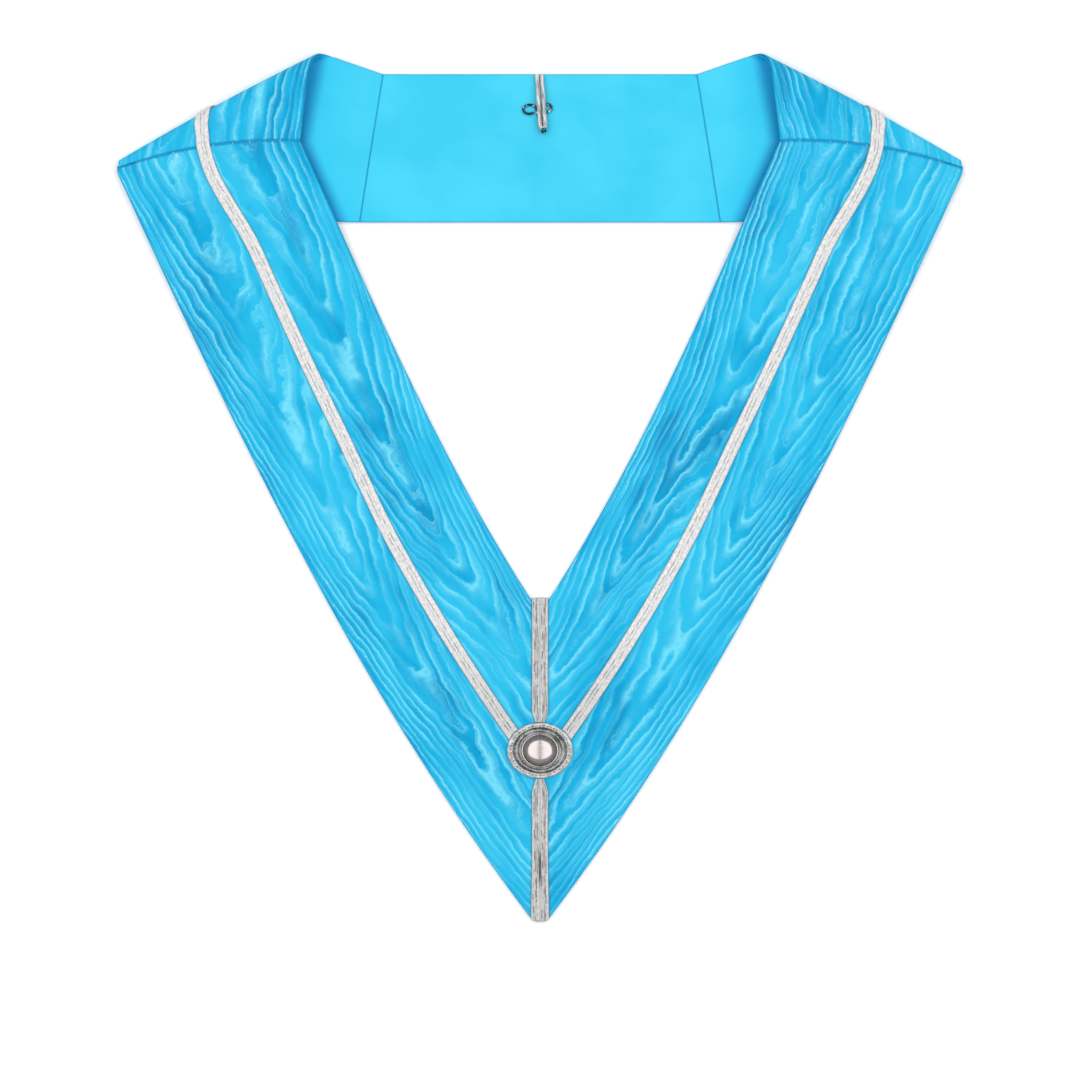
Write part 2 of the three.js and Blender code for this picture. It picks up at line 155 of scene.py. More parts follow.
def bow(t):
    """A parabola that is 0 at both ends and 1 in the middle."""
    return 4 * t * (1 - t)


def braid_share(station):
    """Place of the braid across the ribbon, 0 at the neck edge: eased steps between its stations."""
    row = np.clip(np.searchsorted(BRAID_STATION, station) - 1, 0, len(BRAID_STATION) - 2)
    t = (station - BRAID_STATION[row]) / (BRAID_STATION[row + 1] - BRAID_STATION[row])
    return BRAID_SHARE[row] + (BRAID_SHARE[row + 1] - BRAID_SHARE[row]) * ease(t)


def crown(u, station):
    """Rise of the band over the braid: a squared sine, 0 at both edges and full over the braid."""
    middle = braid_share(station)
    turn = np.where(u < middle, u / middle, 1 + (u - middle) / (1 - middle))
    return CROWN_HEIGHT * np.sin(turn * np.pi / 2) ** 2


def xyz(x, y, z):
    """Points from three arrays of any matching shapes."""
    return np.stack(np.broadcast_arrays(x, y, z), axis=-1).astype(float)


def mix(a, b, t):
    """Straight line from points a to points b."""
    return a + (b - a) * np.asarray(t)[..., None]


def back_face(u, s):
    """Moire face of the back band, from the right seam at s = 0 to the left one at s = 1."""
    half = BAND_NECK_HALF + (BAND_OUTER_HALF - BAND_NECK_HALF) * u - BACK_SEAM_GAP / 2
    return xyz(half * (1 - 2 * s), BAND_TOP - BAND_WIDTH * u, crown(u, 0.0 * s))


def tangents(face, u, s, span):
    """Slopes of a face across and along, and its outward unit normal, by differences that are
    kept inside the face. The outside is the moire side."""
    u_low, u_high = np.maximum(u - SLOPE_STEP, 0), np.minimum(u + SLOPE_STEP, 1)
    s_low, s_high = np.maximum(s - SLOPE_STEP, span[0]), np.minimum(s + SLOPE_STEP, span[1])
    across = (face(u_high, s) - face(u_low, s)) / (u_high - u_low)[..., None]
    along = (face(u, s_high) - face(u, s_low)) / (s_high - s_low)[..., None]
    normal = np.cross(across, along)
    return across, along, normal / np.linalg.norm(normal, axis=-1, keepdims=True)


def edge_lines(length, spacing, edge):
    """Shares from 0 to 1 along a length, evenly spaced inside and close together near both ends."""
    near = edge * (1 - np.cos(np.linspace(0, np.pi / 2, 5))) / length
    inside = np.linspace(near[-1], 1 - near[-1], max(2, int(length / spacing)))
    return np.unique(np.round(np.concatenate([near, inside, 1 - near]), 9))


def grid_quads(rows, columns, wrap=False, ring=False):
    """Quads of a grid whose rows follow each other; wrap joins the last column to the first, and
    ring the last row to the first."""
    index = np.arange(rows * columns).reshape(rows, columns)
    if ring:
        index = np.concatenate([index, index[:1]])
    if wrap:
        index = np.concatenate([index, index[:, :1]], axis=1)
    corners = [index[:-1, :-1], index[1:, :-1], index[1:, 1:], index[:-1, 1:]]
    return np.stack(corners, axis=-1).reshape(-1, 4)


def make_piece(name, points, quads, materials, uv=None, marks=None, mirrored=False, faces=None,
               weld=False):
    """A closed mesh of quads from points in millimetres, turned so that its volume is positive. uv
    is in metres, one pair a point; marks are named numbers, one a point; faces gives each quad's
    material; weld joins the points that fall together at a pole."""
    points = points.reshape(-1, 3) * (np.array([-1, 1, 1]) if mirrored else 1)
    a, b, c, d = (points[quads[:, k]] for k in range(4))
    volume = np.einsum("ij,ij->", a, np.cross(b, c) + np.cross(c, d))
    quads = quads[:, ::-1] if volume < 0 else quads
    mesh = bpy.data.meshes.new(name)
    mesh.vertices.add(len(points))
    mesh.vertices.foreach_set("co", (points * MM + part_origin).ravel())
    mesh.loops.add(quads.size)
    mesh.loops.foreach_set("vertex_index", quads.ravel().astype(np.int32))
    mesh.polygons.add(len(quads))
    mesh.polygons.foreach_set("loop_start", np.arange(0, quads.size, 4, dtype=np.int32))
    mesh.polygons.foreach_set("use_smooth", np.ones(len(quads), bool))
    for material in materials:
        mesh.materials.append(material)
    if faces is not None:
        mesh.polygons.foreach_set("material_index", faces.astype(np.int32))
    if uv is not None:
        layer = mesh.uv_layers.new(name="cloth")
        layer.data.foreach_set("uv", uv.reshape(-1, 2)[quads.ravel()].astype(np.float32).ravel())
    for key, values in (marks or {}).items():
        layer = mesh.attributes.new(key, "FLOAT", "POINT")
        layer.data.foreach_set("value", values.astype(np.float32).ravel())
    mesh.update()
    mesh.validate()
    if weld:
        shape = bmesh.new()
        shape.from_mesh(mesh)
        bmesh.ops.remove_doubles(shape, verts=shape.verts, dist=WELD_REACH)
        shape.to_mesh(mesh)
        shape.free()
    piece = bpy.data.objects.new(name, mesh)
    bpy.context.scene.collection.objects.link(piece)
    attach(piece, "root")
    return piece


# Neck edges of shoulder and front in plan, beside which the lining gets painted shade.
OVERLYING_EDGE = ((-140.5, 546.5), (-150.6, 491.4), (-127.5, 441.0))


def fold_distance(place):
    """Distance in plan from the neck edges of shoulder and front, which lie over the lining; it lays the
    lining's painted shade beside them.
    """
    x, y = -np.abs(place[..., 0]), place[..., 1]
    nearest = np.full(x.shape, np.inf)
    for (ax, ay), (bx, by) in zip(OVERLYING_EDGE, OVERLYING_EDGE[1:]):
        t = ((x - ax) * (bx - ax) + (y - ay) * (by - ay)) / ((bx - ax) ** 2 + (by - ay) ** 2)
        t = np.clip(t, 0, 1)
        nearest = np.minimum(nearest, np.hypot(x - ax - t * (bx - ax), y - ay - t * (by - ay)))
    return nearest


CLOTH_SPACING = 1.9
HEM_ROLL = 0.32
PROBES = (9, 240)
# Rows of the split rim: each one's share of the thickness, and how far it is pressed in.
RIM_GROOVE = ((0.42, 0.0), (0.5, 0.4), (0.58, 0.0))


def cloth_piece(name, node, face, span, depths, materials, spacing=CLOTH_SPACING,
                mirrored=False, uv_shift=0.0, uv_of=None, split_rim=False):
    """A closed layer of cloth between two depths below a face, with rims rounded to HEM_ROLL. The
    cloth coordinates run across from the neck edge and along from the start; split_rim presses a
    groove between the two cloths at the rim. It replaces the node."""
    probe_u, probe_s = np.meshgrid(np.linspace(0, 1, PROBES[0]), np.linspace(*span, PROBES[1]),
                                   indexing="ij")
    probe = face(probe_u, probe_s)
    run = np.linalg.norm(np.diff(probe, axis=1), axis=-1).max(axis=0)
    reach = np.concatenate([[0], np.cumsum(run)])
    width = np.linalg.norm(np.diff(probe, axis=0), axis=-1).sum(axis=0).max()
    s = np.interp(edge_lines(reach[-1], spacing, HEM_ROLL) * reach[-1], reach, probe_s[0])
    u, s = np.meshgrid(edge_lines(width, spacing, HEM_ROLL), s, indexing="ij")
    middle = face(u, s)
    normal = tangents(face, u, s, span)[2]
    across = np.linalg.norm(np.diff(middle, axis=0), axis=-1)
    along = np.linalg.norm(np.diff(middle, axis=1), axis=-1)
    from_neck = np.concatenate([0 * across[:1], np.cumsum(across, axis=0)])
    from_start = np.concatenate([0 * along[:, :1], np.cumsum(along, axis=1)], axis=1)
    rim = np.minimum(np.minimum(from_neck, from_neck[-1:] - from_neck),
                     np.minimum(from_start, from_start[:, -1:] - from_start))
    inward = 1 - np.clip(rim, 0, HEM_ROLL) / HEM_ROLL
    dip = HEM_ROLL * (1 - np.sqrt(1 - inward ** 2))
    top = middle - normal * (depths[0] + dip)[..., None]
    bottom = middle - normal * (depths[1] - dip)[..., None]
    rows, columns = u.shape
    index = np.arange(u.size).reshape(rows, columns)
    loop = np.concatenate([index[:, 0], index[-1, 1:], index[-2::-1, -1], index[0, -2:0:-1]])
    loops = [loop]
    extra = []
    if split_rim:
        edge_middle = middle.reshape(-1, 3)[loop]
        edge_normal = normal.reshape(-1, 3)[loop]
        course = np.roll(edge_middle, -1, axis=0) - np.roll(edge_middle, 1, axis=0)
        outward = np.cross(edge_normal, course)
        outward /= np.linalg.norm(outward, axis=-1, keepdims=True)
        inside = np.einsum("ij,ij->", outward, edge_middle - edge_middle.mean(axis=0)) < 0
        outward = -outward if inside else outward
        for share, inset in RIM_GROOVE:
            depth = depths[0] + (depths[1] - depths[0]) * share
            extra.append(edge_middle - edge_normal * depth - outward * inset)
            loops.append(2 * u.size + (len(extra) - 1) * len(loop) + np.arange(len(loop)))
    loops.append(loop + u.size)
    quads = grid_quads(rows, columns)
    rim_quads = [np.stack([np.roll(a, -1), a, b, np.roll(b, -1)], axis=-1)
                 for a, b in zip(loops, loops[1:])]
    all_points = np.concatenate([top.reshape(-1, 3), bottom.reshape(-1, 3), *extra])
    all_quads = np.concatenate([quads, quads[:, ::-1] + u.size, *rim_quads])
    faces = np.repeat([0, 1, 0], [len(quads), len(quads), len(loop) * len(rim_quads)])
    uv = np.stack([u * BAND_WIDTH, from_start], axis=-1) if uv_of is None else uv_of(middle, u)
    uv = uv.reshape(-1, 2) * MM + np.array([0, uv_shift])
    marks = {"rim_mm": rim, "seam_mm": np.minimum(from_start, from_start[:, -1:] - from_start),
             "fold_mm": fold_distance(middle)}
    layers = [slice(None), slice(None)] + [loop] * len(extra)
    piece = make_piece(name, all_points, all_quads, materials,
                       uv=np.concatenate([uv[layer] for layer in layers]),
                       marks={key: np.concatenate([value.ravel()[layer] for layer in layers])
                              for key, value in marks.items()},
                       mirrored=mirrored, faces=faces % len(materials))
    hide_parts(node)
    return piece


def shader(name):
    """A new material and its node tree, with the shader's inputs at hand."""
    material = bpy.data.materials.new(name)
    material.use_nodes = True
    return material, material.node_tree, material.node_tree.nodes["Principled BSDF"].inputs


def feed(tree, socket, value):
    """Link an output to a socket, or set the socket to a plain value; a colour is three numbers."""
    if hasattr(value, "is_linked"):
        tree.links.new(value, socket)
    else:
        socket.default_value = (*value, 1) if socket.type == "RGBA" else value


def put(tree, kind, settings=None, **sockets):
    """A node with its settings; each socket, by name or as i and its number, is fed a value."""
    node = tree.nodes.new(kind)
    for key, value in (settings or {}).items():
        setattr(node, key, value)
    for key, value in sockets.items():
        feed(tree, node.inputs[int(key[1:]) if key[0] == "i" and key[1:].isdigit() else key], value)
    return node


def dress(tree, inputs, **values):
    """Feed the shader's inputs by name, with _ for each blank."""
    for key, value in values.items():
        feed(tree, inputs[key.replace("_", " ")], value)


def calc(tree, operation, a, b=0.0, c=0.0):
    """The output of one Math node."""
    return put(tree, "ShaderNodeMath", {"operation": operation}, i0=a, i1=b, i2=c).outputs[0]


def spread(tree, value, low, high, to_low=0.0, to_high=1.0):
    """A value's stretch from low to high, eased and carried to another stretch."""
    node = put(tree, "ShaderNodeMapRange", {"interpolation_type": "SMOOTHSTEP"}, i0=value, i1=low, i2=high,
               i3=to_low, i4=to_high)
    return node.outputs[0]


def ripple(tree, value, pitch):
    """Sine of a value in metres, with one turn to each pitch."""
    return calc(tree, "SINE", calc(tree, "MULTIPLY", value, 2 * math.pi / pitch))


def speckle(tree, vector, scale, seed, detail=2.0, roughness=0.5):
    """Noise of a given stretch in each direction, from cloth coordinates in metres."""
    moved = put(tree, "ShaderNodeMapping", i0=vector, i1=(seed, seed * 0.7, 0), i3=(*scale, 1))
    return put(tree, "ShaderNodeTexNoise", i0=moved.outputs[0], Scale=1.0, Detail=detail,
               Roughness=roughness).outputs["Fac"]


def grain(tree, scale, detail):
    """Noise in the object's own coordinates, for metal and dark thread."""
    spot = put(tree, "ShaderNodeTexCoord").outputs["Object"]
    return put(tree, "ShaderNodeTexNoise", i0=spot, Scale=scale, Detail=detail).outputs["Fac"]


def tint(tree, factor, a, b):
    """Colour a turning to colour b."""
    return put(tree, "ShaderNodeMix", {"data_type": "RGBA"}, i0=factor, i6=a, i7=b).outputs[2]


def mark(tree, name):
    """A number that the mesh carries at each point."""
    return put(tree, "ShaderNodeAttribute", {"attribute_name": name}).outputs["Fac"]


def cloth_place(tree):
    """Cloth coordinates in metres, and their parts across and along."""
    cloth = put(tree, "ShaderNodeUVMap", {"uv_map": "cloth"}).outputs[0]
    return cloth, put(tree, "ShaderNodeSeparateXYZ", i0=cloth).outputs


def relieve(tree, inputs, height, relief, strength):
    """Bump of a height that reaches to relief, in metres."""
    bump = put(tree, "ShaderNodeBump", i0=strength, Distance=relief, Height=height)
    tree.links.new(bump.outputs[0], inputs["Normal"])


def slant_threads(tree, inputs, across, along, lean, pitch, relief, strength):
    """Bump of threads of a pitch, leaning over the cord."""
    slant = calc(tree, "MULTIPLY_ADD", across, lean, along)
    relieve(tree, inputs, ripple(tree, slant, pitch), relief, strength)


def new_group(name, inputs, outputs):
    """An empty shader group with float, vector or colour sockets."""
    group = bpy.data.node_groups.new(name, "ShaderNodeTree")
    for label, kind in inputs:
        group.interface.new_socket(label, in_out="INPUT", socket_type=kind)
    for label, kind in outputs:
        group.interface.new_socket(label, in_out="OUTPUT", socket_type=kind)
    entry = group.nodes.new("NodeGroupInput")
    leave = group.nodes.new("NodeGroupOutput")
    return group, entry.outputs, leave.inputs


# Watered pattern: nested chevrons down each half of the ribbon, as the lines of even phase of its
# distance from the half's middle, bent by noise and crowded along the selvages. Each line starts
# sharply and fades; the ribs of the cloth make its edge jagged.
HALF_MIDDLE = BAND_WIDTH * MM / 4
LINES_ACROSS = 172.0
LINES_ALONG = 21.0
CHEVRON_ROUND = 0.003
SELVAGE_LINES = 2.2
SELVAGE_REACH = 0.011
RIB_PITCH = 0.00055
LINE_FADE = 4.5
FINE_FADE = 5.0
FINE_OFFSET = 0.37
WASH = 0.018
# Each bend of the lines: noise across and along, its seed and detail, and the lines it moves them by.
LINE_BENDS = (((14, 4.2), 3.1, 1.0, 6.4), ((46, 10), 8.3, 2.0, 2.7), ((110, 62), 6.9, 2.0, 0.9),
              ((150, 420), 5.7, 3.0, 0.24))
TONE_PATCHES = (((26, 7), 6.1, 3.0, 0.65), ((130, 30), 4.4, 3.0, 0.35))
watered, given, leave = new_group(
    "watered", [("Cloth", "NodeSocketVector")],
    [("Line", "NodeSocketFloat"), ("Tone", "NodeSocketFloat"), ("Rib", "NodeSocketFloat")])
place = given["Cloth"]
parts = put(watered, "ShaderNodeSeparateXYZ", i0=place).outputs
from_middle = calc(watered, "ABSOLUTE", calc(watered, "SUBTRACT", parts[0], 2 * HALF_MIDDLE))
off_axis = calc(watered, "SUBTRACT", from_middle, HALF_MIDDLE)
rounded = calc(watered, "SQRT", calc(watered, "MULTIPLY_ADD", off_axis, off_axis, CHEVRON_ROUND ** 2))
to_selvage = calc(watered, "SUBTRACT", 2 * HALF_MIDDLE, from_middle)
crowd = calc(watered, "EXPONENT", calc(watered, "MULTIPLY", to_selvage, -1 / SELVAGE_REACH))
phase = calc(watered, "MULTIPLY", rounded, LINES_ACROSS)
phase = calc(watered, "MULTIPLY_ADD", parts[1], LINES_ALONG, phase)
phase = calc(watered, "MULTIPLY_ADD", crowd, SELVAGE_LINES, phase)
for scale, seed, detail, amount in LINE_BENDS:
    phase = calc(watered, "MULTIPLY_ADD", speckle(watered, place, scale, seed, detail), amount, phase)


def fading(saw, power):
    """A line that is full where its phase starts, and fades by a power."""
    return calc(watered, "POWER", calc(watered, "SUBTRACT", 1.0, saw), power)


saw = calc(watered, "FRACT", phase)
bold_line = calc(watered, "MAXIMUM", fading(saw, LINE_FADE), spread(watered, saw, 0.80, 1.0))
fine_saw = calc(watered, "FRACT", calc(watered, "MULTIPLY_ADD", phase, 2.0, FINE_OFFSET))
fine_line = calc(watered, "MULTIPLY", fading(fine_saw, FINE_FADE),
                 spread(watered, speckle(watered, place, (40, 10), 1.9), 0.44, 0.60, 0.0, 0.6))
presence = spread(watered, speckle(watered, place, (85, 16), 2.3, 2.0), 0.38, 0.60, 0.2, 1.0)
line = calc(watered, "MAXIMUM", calc(watered, "MULTIPLY", bold_line, presence), fine_line)
tone = calc(watered, "MULTIPLY", calc(watered, "SINE", calc(watered, "MULTIPLY", phase, math.pi)), WASH)
for scale, seed, detail, amount in TONE_PATCHES:
    tone = calc(watered, "MULTIPLY_ADD", speckle(watered, place, scale, seed, detail), amount, tone)
watered.links.new(line, leave["Line"])
watered.links.new(tone, leave["Tone"])
watered.links.new(ripple(watered, parts[1], RIB_PITCH), leave["Rib"])

# Ribbon cloth: a cyan ground with darker patches, paler watered lines with whitish flecks on them,
# whose brightness is painted sheen over the cloth's own pattern, and painted shade at its rims and seams.
CLOTH_RELIEF = 0.00004
MOIRE_DEEP = (0.001, 0.355, 0.63)
MOIRE_FAIR = (0.020, 0.455, 0.72)
MOIRE_DARK = (0.0, 0.24, 0.48)
MOIRE_LINE_SHEEN = (0.15, 0.64, 0.82)
MOIRE_FLECK_SHEEN = (0.42, 0.68, 0.80)
MOIRE_RIM_SHADE = (0.0, 0.20, 0.42)
MOIRE_SEAM_SHADE = (0.0, 0.25, 0.50)
moire, tree, inputs = shader("moire_ribbon_cloth")
cloth, parts = cloth_place(tree)
water = put(tree, "ShaderNodeGroup", {"node_tree": watered}, Cloth=cloth).outputs
line, tone = water["Line"], water["Tone"]
rim = mark(tree, "rim_mm")
colour = tint(tree, spread(tree, tone, 0.42, 0.60), MOIRE_DEEP, MOIRE_FAIR)
colour = tint(tree, spread(tree, tone, 0.34, 0.46, 0.9, 0.0), colour, MOIRE_DARK)
# Painted sheen: the watered lines, and the whitish flecks on them, are lightened in colour over the cloth's
# own pattern.
colour = tint(tree, calc(tree, "MULTIPLY", line, 0.95), colour, MOIRE_LINE_SHEEN)
fleck = spread(tree, speckle(tree, cloth, (900, 420), 7.7, 1.0), 0.56, 0.70)
fleck = calc(tree, "MULTIPLY", fleck, spread(tree, rim, 5.0, 12.0, 0.7, 0.2))
colour = tint(tree, calc(tree, "MULTIPLY", fleck, line), colour, MOIRE_FLECK_SHEEN)
# Painted shade along the ribbon's rims.
colour = tint(tree, spread(tree, rim, 0.2, 1.5, 0.55, 0.0), colour, MOIRE_RIM_SHADE)
# Painted shade beside the seams, with an uneven edge, fading towards the ribbon's outer edge.
seam_shade = calc(tree, "MULTIPLY_ADD", speckle(tree, cloth, (160, 160), 2.9, 2.0), 1.3, mark(tree, "seam_mm"))
seam_shade = calc(tree, "MULTIPLY", spread(tree, seam_shade, 0.5, 2.6, 0.6, 0.0),
             spread(tree, parts[0], 0.065, 0.092, 1.0, 0.35))
colour = tint(tree, seam_shade, colour, MOIRE_SEAM_SHADE)
relieve(tree, inputs, calc(tree, "MULTIPLY_ADD", water["Rib"], 0.5, line), CLOTH_RELIEF, 0.5)
dress(tree, inputs, Base_Color=colour, Roughness=spread(tree, line, 0.0, 1.0, 0.6, 0.42),
      Specular_IOR_Level=0.09, Sheen_Weight=0.02, Sheen_Roughness=0.4)

# Lining cloth, used by every layer that faces the wearer: plain and pale, faintly clouded, with a
# fine weave, painted shade along its rims, and painted shade beside the overlying edges of the folds.
LINING_DEEP = (0.030, 0.52, 0.755)
LINING_FAIR = (0.050, 0.575, 0.80)
LINING_WIDE_FOLD_SHADE = (0.016, 0.50, 0.765)
LINING_SHADED = (0.0, 0.27, 0.56)
LINING_RIM_SHADE = (0.0, 0.22, 0.50)
WEAVE_PITCH = 0.0005
lining, tree, inputs = shader("satin_lining_cloth")
cloth, parts = cloth_place(tree)
fold = mark(tree, "fold_mm")
cloud = spread(tree, speckle(tree, cloth, (22, 16), 1.7, 3.0), 0.35, 0.68)
colour = tint(tree, cloud, LINING_DEEP, LINING_FAIR)
# Painted shade beside the overlying edges of shoulder and front: a wide faint band, then a deep narrow one.
colour = tint(tree, spread(tree, fold, 4.0, 34.0, 0.7, 0.0), colour, LINING_WIDE_FOLD_SHADE)
colour = tint(tree, spread(tree, fold, 0.0, 9.0, 0.9, 0.0), colour, LINING_SHADED)
# Painted shade along the lining's rims and in the gaps of its seams.
colour = tint(tree, spread(tree, mark(tree, "rim_mm"), 0.1, 1.0, 0.5, 0.0), colour, LINING_RIM_SHADE)
woven = calc(tree, "MULTIPLY", ripple(tree, parts[0], WEAVE_PITCH), ripple(tree, parts[1], WEAVE_PITCH))
relieve(tree, inputs, woven, CLOTH_RELIEF, 0.4)
dress(tree, inputs, Base_Color=colour, Roughness=0.5, Specular_IOR_Level=0.2)

BACK_SHIFT = 1.3
back_ribbon = cloth_piece("back_ribbon_cloth", "back_ribbon", back_face, (0, 1), (0, RIBBON_THICK),
                          [moire], uv_shift=BACK_SHIFT)

# Back lining
# Plain satin of the same size, sewn behind the back ribbon along its edges. It faces up here, and
# lies against the wearer's neck.
LINING_DEPTHS = (RIBBON_THICK + LAYER_GAP, CLOTH_THICK)
back_lining = cloth_piece("back_lining_cloth", "back_lining", back_face, (0, 1), LINING_DEPTHS,
                          [lining], uv_shift=BACK_SHIFT)

# Shoulder ribbons
# A length of ribbon is seamed to each end of the back band, runs out to the side and is folded
# over towards the front, so its moire face turns up. It sags to the seam with the front.
FOLD_INNER_HALF = 140.5
FOLD_INNER_RISE = 12.3
FOLD_LENGTH = 141.0
FOLD_SLOPE = math.radians(28.1)
FOLD_BOW = 1.2
FOLD_RADIUS_INNER = 6.5
FOLD_RADIUS_OUTER = 2.6
WRAP_SHIFT_INNER = 17.5
WRAP_SHIFT_OUTER = 4.0
OUTER_EDGE_RUN = 56
SEAM_INNER_HALF = 150.6
SEAM_INNER_DEPTH = 55.1
SEAM_OUTER_SIDE = 2.5
SEAM_OUTER_DROP = 5.5
SEAM_BOW = 5.4
SHOULDER_SINK = 2.0
CORNER_INSET = 1.1
CORNER_REACH_ALONG = 4.0
PUCKER_HEIGHT = 0.55
PUCKER_FADE = 0.4
PUCKER_REACH = 5.0
PUCKER_PITCH = 5.6
# Wandering of the gathers along the seam: amount and pace.
PUCKER_WANDER = ((2.3, 13), (1.1, 31))
fold_along = np.array([-math.cos(FOLD_SLOPE), -math.sin(FOLD_SLOPE), 0])
fold_out = np.array([-math.sin(FOLD_SLOPE), math.cos(FOLD_SLOPE), 0])
fold_inner = np.array([-FOLD_INNER_HALF, BAND_TOP + FOLD_INNER_RISE, 0])
fold_outer = fold_inner + fold_along * FOLD_LENGTH
seam_inner = np.array([-SEAM_INNER_HALF, fold_inner[1] - SEAM_INNER_DEPTH, 0])
seam_outer = fold_outer + np.array([-SEAM_OUTER_SIDE, -SEAM_OUTER_DROP, 0])


def between(a, b, t):
    """Number from a to b at the share t."""
    return a + (b - a) * t


def fold_radius(u):
    """Bend radius of the shoulder fold, wider at the neck edge."""
    return between(FOLD_RADIUS_INNER, FOLD_RADIUS_OUTER, u)


def pucker(u, distance):
    """Height of the gathers that the seam's thread pulls up, fading away from the seam."""
    turn = 2 * np.pi * u * BAND_WIDTH / PUCKER_PITCH
    turn = turn + sum(amount * np.sin(pace * u) for amount, pace in PUCKER_WANDER)
    height = PUCKER_HEIGHT * (0.55 + 0.45 * np.sin(7 * u + 1)) * (0.5 + 0.5 * np.sin(turn))
    return height * np.exp(-distance / PUCKER_REACH) * np.sqrt(bow(u)) * ease((1 - u) / PUCKER_FADE)


def fold_side(u, angle):
    """Round of the fold: radius fold_radius(u), turned by angle from straight down to straight up,
    while it slides along the fold."""
    place = mix(fold_inner, fold_outer, u)
    place = place + fold_out * (FOLD_BOW * bow(u) + fold_radius(u) * (np.cos(angle) - 1))[..., None]
    place = place + fold_along * (between(WRAP_SHIFT_INNER, WRAP_SHIFT_OUTER, u) * angle / np.pi)[..., None]
    place[..., 2] = fold_radius(u) * (1 + np.sin(angle))
    return place


def seam_point(u, shift):
    """Seam of shoulder and front on the top layer, bowed and moved up the collar by shift."""
    place = mix(seam_inner, seam_outer, u)
    place[..., 1] += SEAM_BOW * bow(u) + shift
    place[..., 2] = 2 * fold_radius(u)
    return place


def shoulder_face(u, s):
    """Moire face of the left shoulder: out along the floor (s 0 to 1, a quadratic bend), round the
    fold (1 to 2), and back down to the front's seam (2 to 3)."""
    u, s = np.broadcast_arrays(u, s)
    half = between(BAND_NECK_HALF, BAND_OUTER_HALF, u)
    start = xyz(-half - BACK_SEAM_GAP / 2, BAND_TOP - BAND_WIDTH * u, 0 * u)
    end = fold_side(u, np.full(u.shape, -np.pi / 2))
    bend = mix((start + end) / 2, start - np.array([OUTER_EDGE_RUN, 0, 0]), u)
    t = np.clip(s, 0, 1)[..., None]
    lower = start * (1 - t) ** 2 + bend * 2 * t * (1 - t) + end * t ** 2
    middle = fold_side(u, (np.clip(s, 1, 2) - 1.5) * np.pi)
    down = np.clip(s - 2, 0, 1)
    seam = seam_point(u, SEAM_GAP / 2)
    fold_top = fold_side(u, np.full(u.shape, np.pi / 2))
    upper = mix(fold_top, seam, down)
    to_seam = np.linalg.norm(seam - fold_top, axis=-1) * (1 - down)
    upper[..., 2] += pucker(u, to_seam) - SHOULDER_SINK * (1 - u) * down ** 2
    upper[..., 0] += CORNER_INSET * u * (1 - np.clip(to_seam / CORNER_REACH_ALONG, 0, 1)) ** 2
    place = np.where((s < 1)[..., None], lower, np.where((s < 2)[..., None], middle, upper))
    place[..., 2] += crown(u, s)
    return place


SIDES = (("left", False, 2.1), ("right", True, 3.7))
shoulder_ribbons = []
for name, mirrored, shift in SIDES:
    shoulder_ribbons.append(cloth_piece(
        "shoulder_ribbon_cloth_" + name, "shoulder_ribbon_" + name, shoulder_face, (0, 3), (0, RIBBON_THICK),
        [moire], mirrored=mirrored, uv_shift=shift))

# Shoulder linings
# The same plain satin, sewn behind each shoulder ribbon. It lies inside the fold, and shows beside
# the back band and in the fold's open end.
for (name, mirrored, shift), ribbon in zip(SIDES, shoulder_ribbons):
    cloth_piece("shoulder_lining_cloth_" + name, "shoulder_lining_" + name, shoulder_face, (0, 3),
                LINING_DEPTHS, [lining], mirrored=mirrored,
                uv_shift=shift)

# Fronts
# Two ribbons run down from the shoulder seams to a mitre on the middle line. Each is ribbon and
# lining sewn together, pressed flat; their rims show the two cloths. They lift to the seams.
NECK_EDGE_BOW = 6.0
NECK_EDGE_SKEW = 0.9
OUTER_EDGE_BOW = 15.2
OUTER_EDGE_SKEW = 0.6
LIFTED_SHARE = 0.45
MITRE_SHARE = 0.97
SEAM_BOW_SHARE = 0.5
CENTRE_BRAID_WIDTH = 10.4
WAVE_HEIGHT = 0.6
# Share of the front over which its waves begin and end.
WAVE_START_SHARE = 0.12
WAVE_END_SHARE = 0.8
WAVE_FADE_SHARE = 0.2
FRONT_RUN = 430
throat_end = np.array([-CENTRE_BRAID_WIDTH / 2 - TRIM_GAP, THROAT_HEIGHT, 0])
point_end = np.array([-CENTRE_BRAID_WIDTH / 2, POINT_FOOT, 0])
neck_seam = seam_inner - np.array([0, SEAM_GAP / 2, 0])
outer_seam = seam_outer - np.array([0, SEAM_GAP / 2, 0])


def edge_line(start, end, bow_by, skew, v):
    """Edge of a front in plan: a skewed bow from the seam to the mitre, then level to its middle."""
    outward = np.array([end[1] - start[1], start[0] - end[0], 0])
    outward /= np.linalg.norm(outward)
    t = np.minimum(v / MITRE_SHARE, 1)
    line = mix(start, end, t) + outward * (bow_by * bow(t) * (1 + skew * (t - 0.5)))[..., None]
    line[..., 0] += (-SEAM_GAP / 2 - end[0]) * np.clip((v - MITRE_SHARE) / (1 - MITRE_SHARE), 0, 1)
    return line


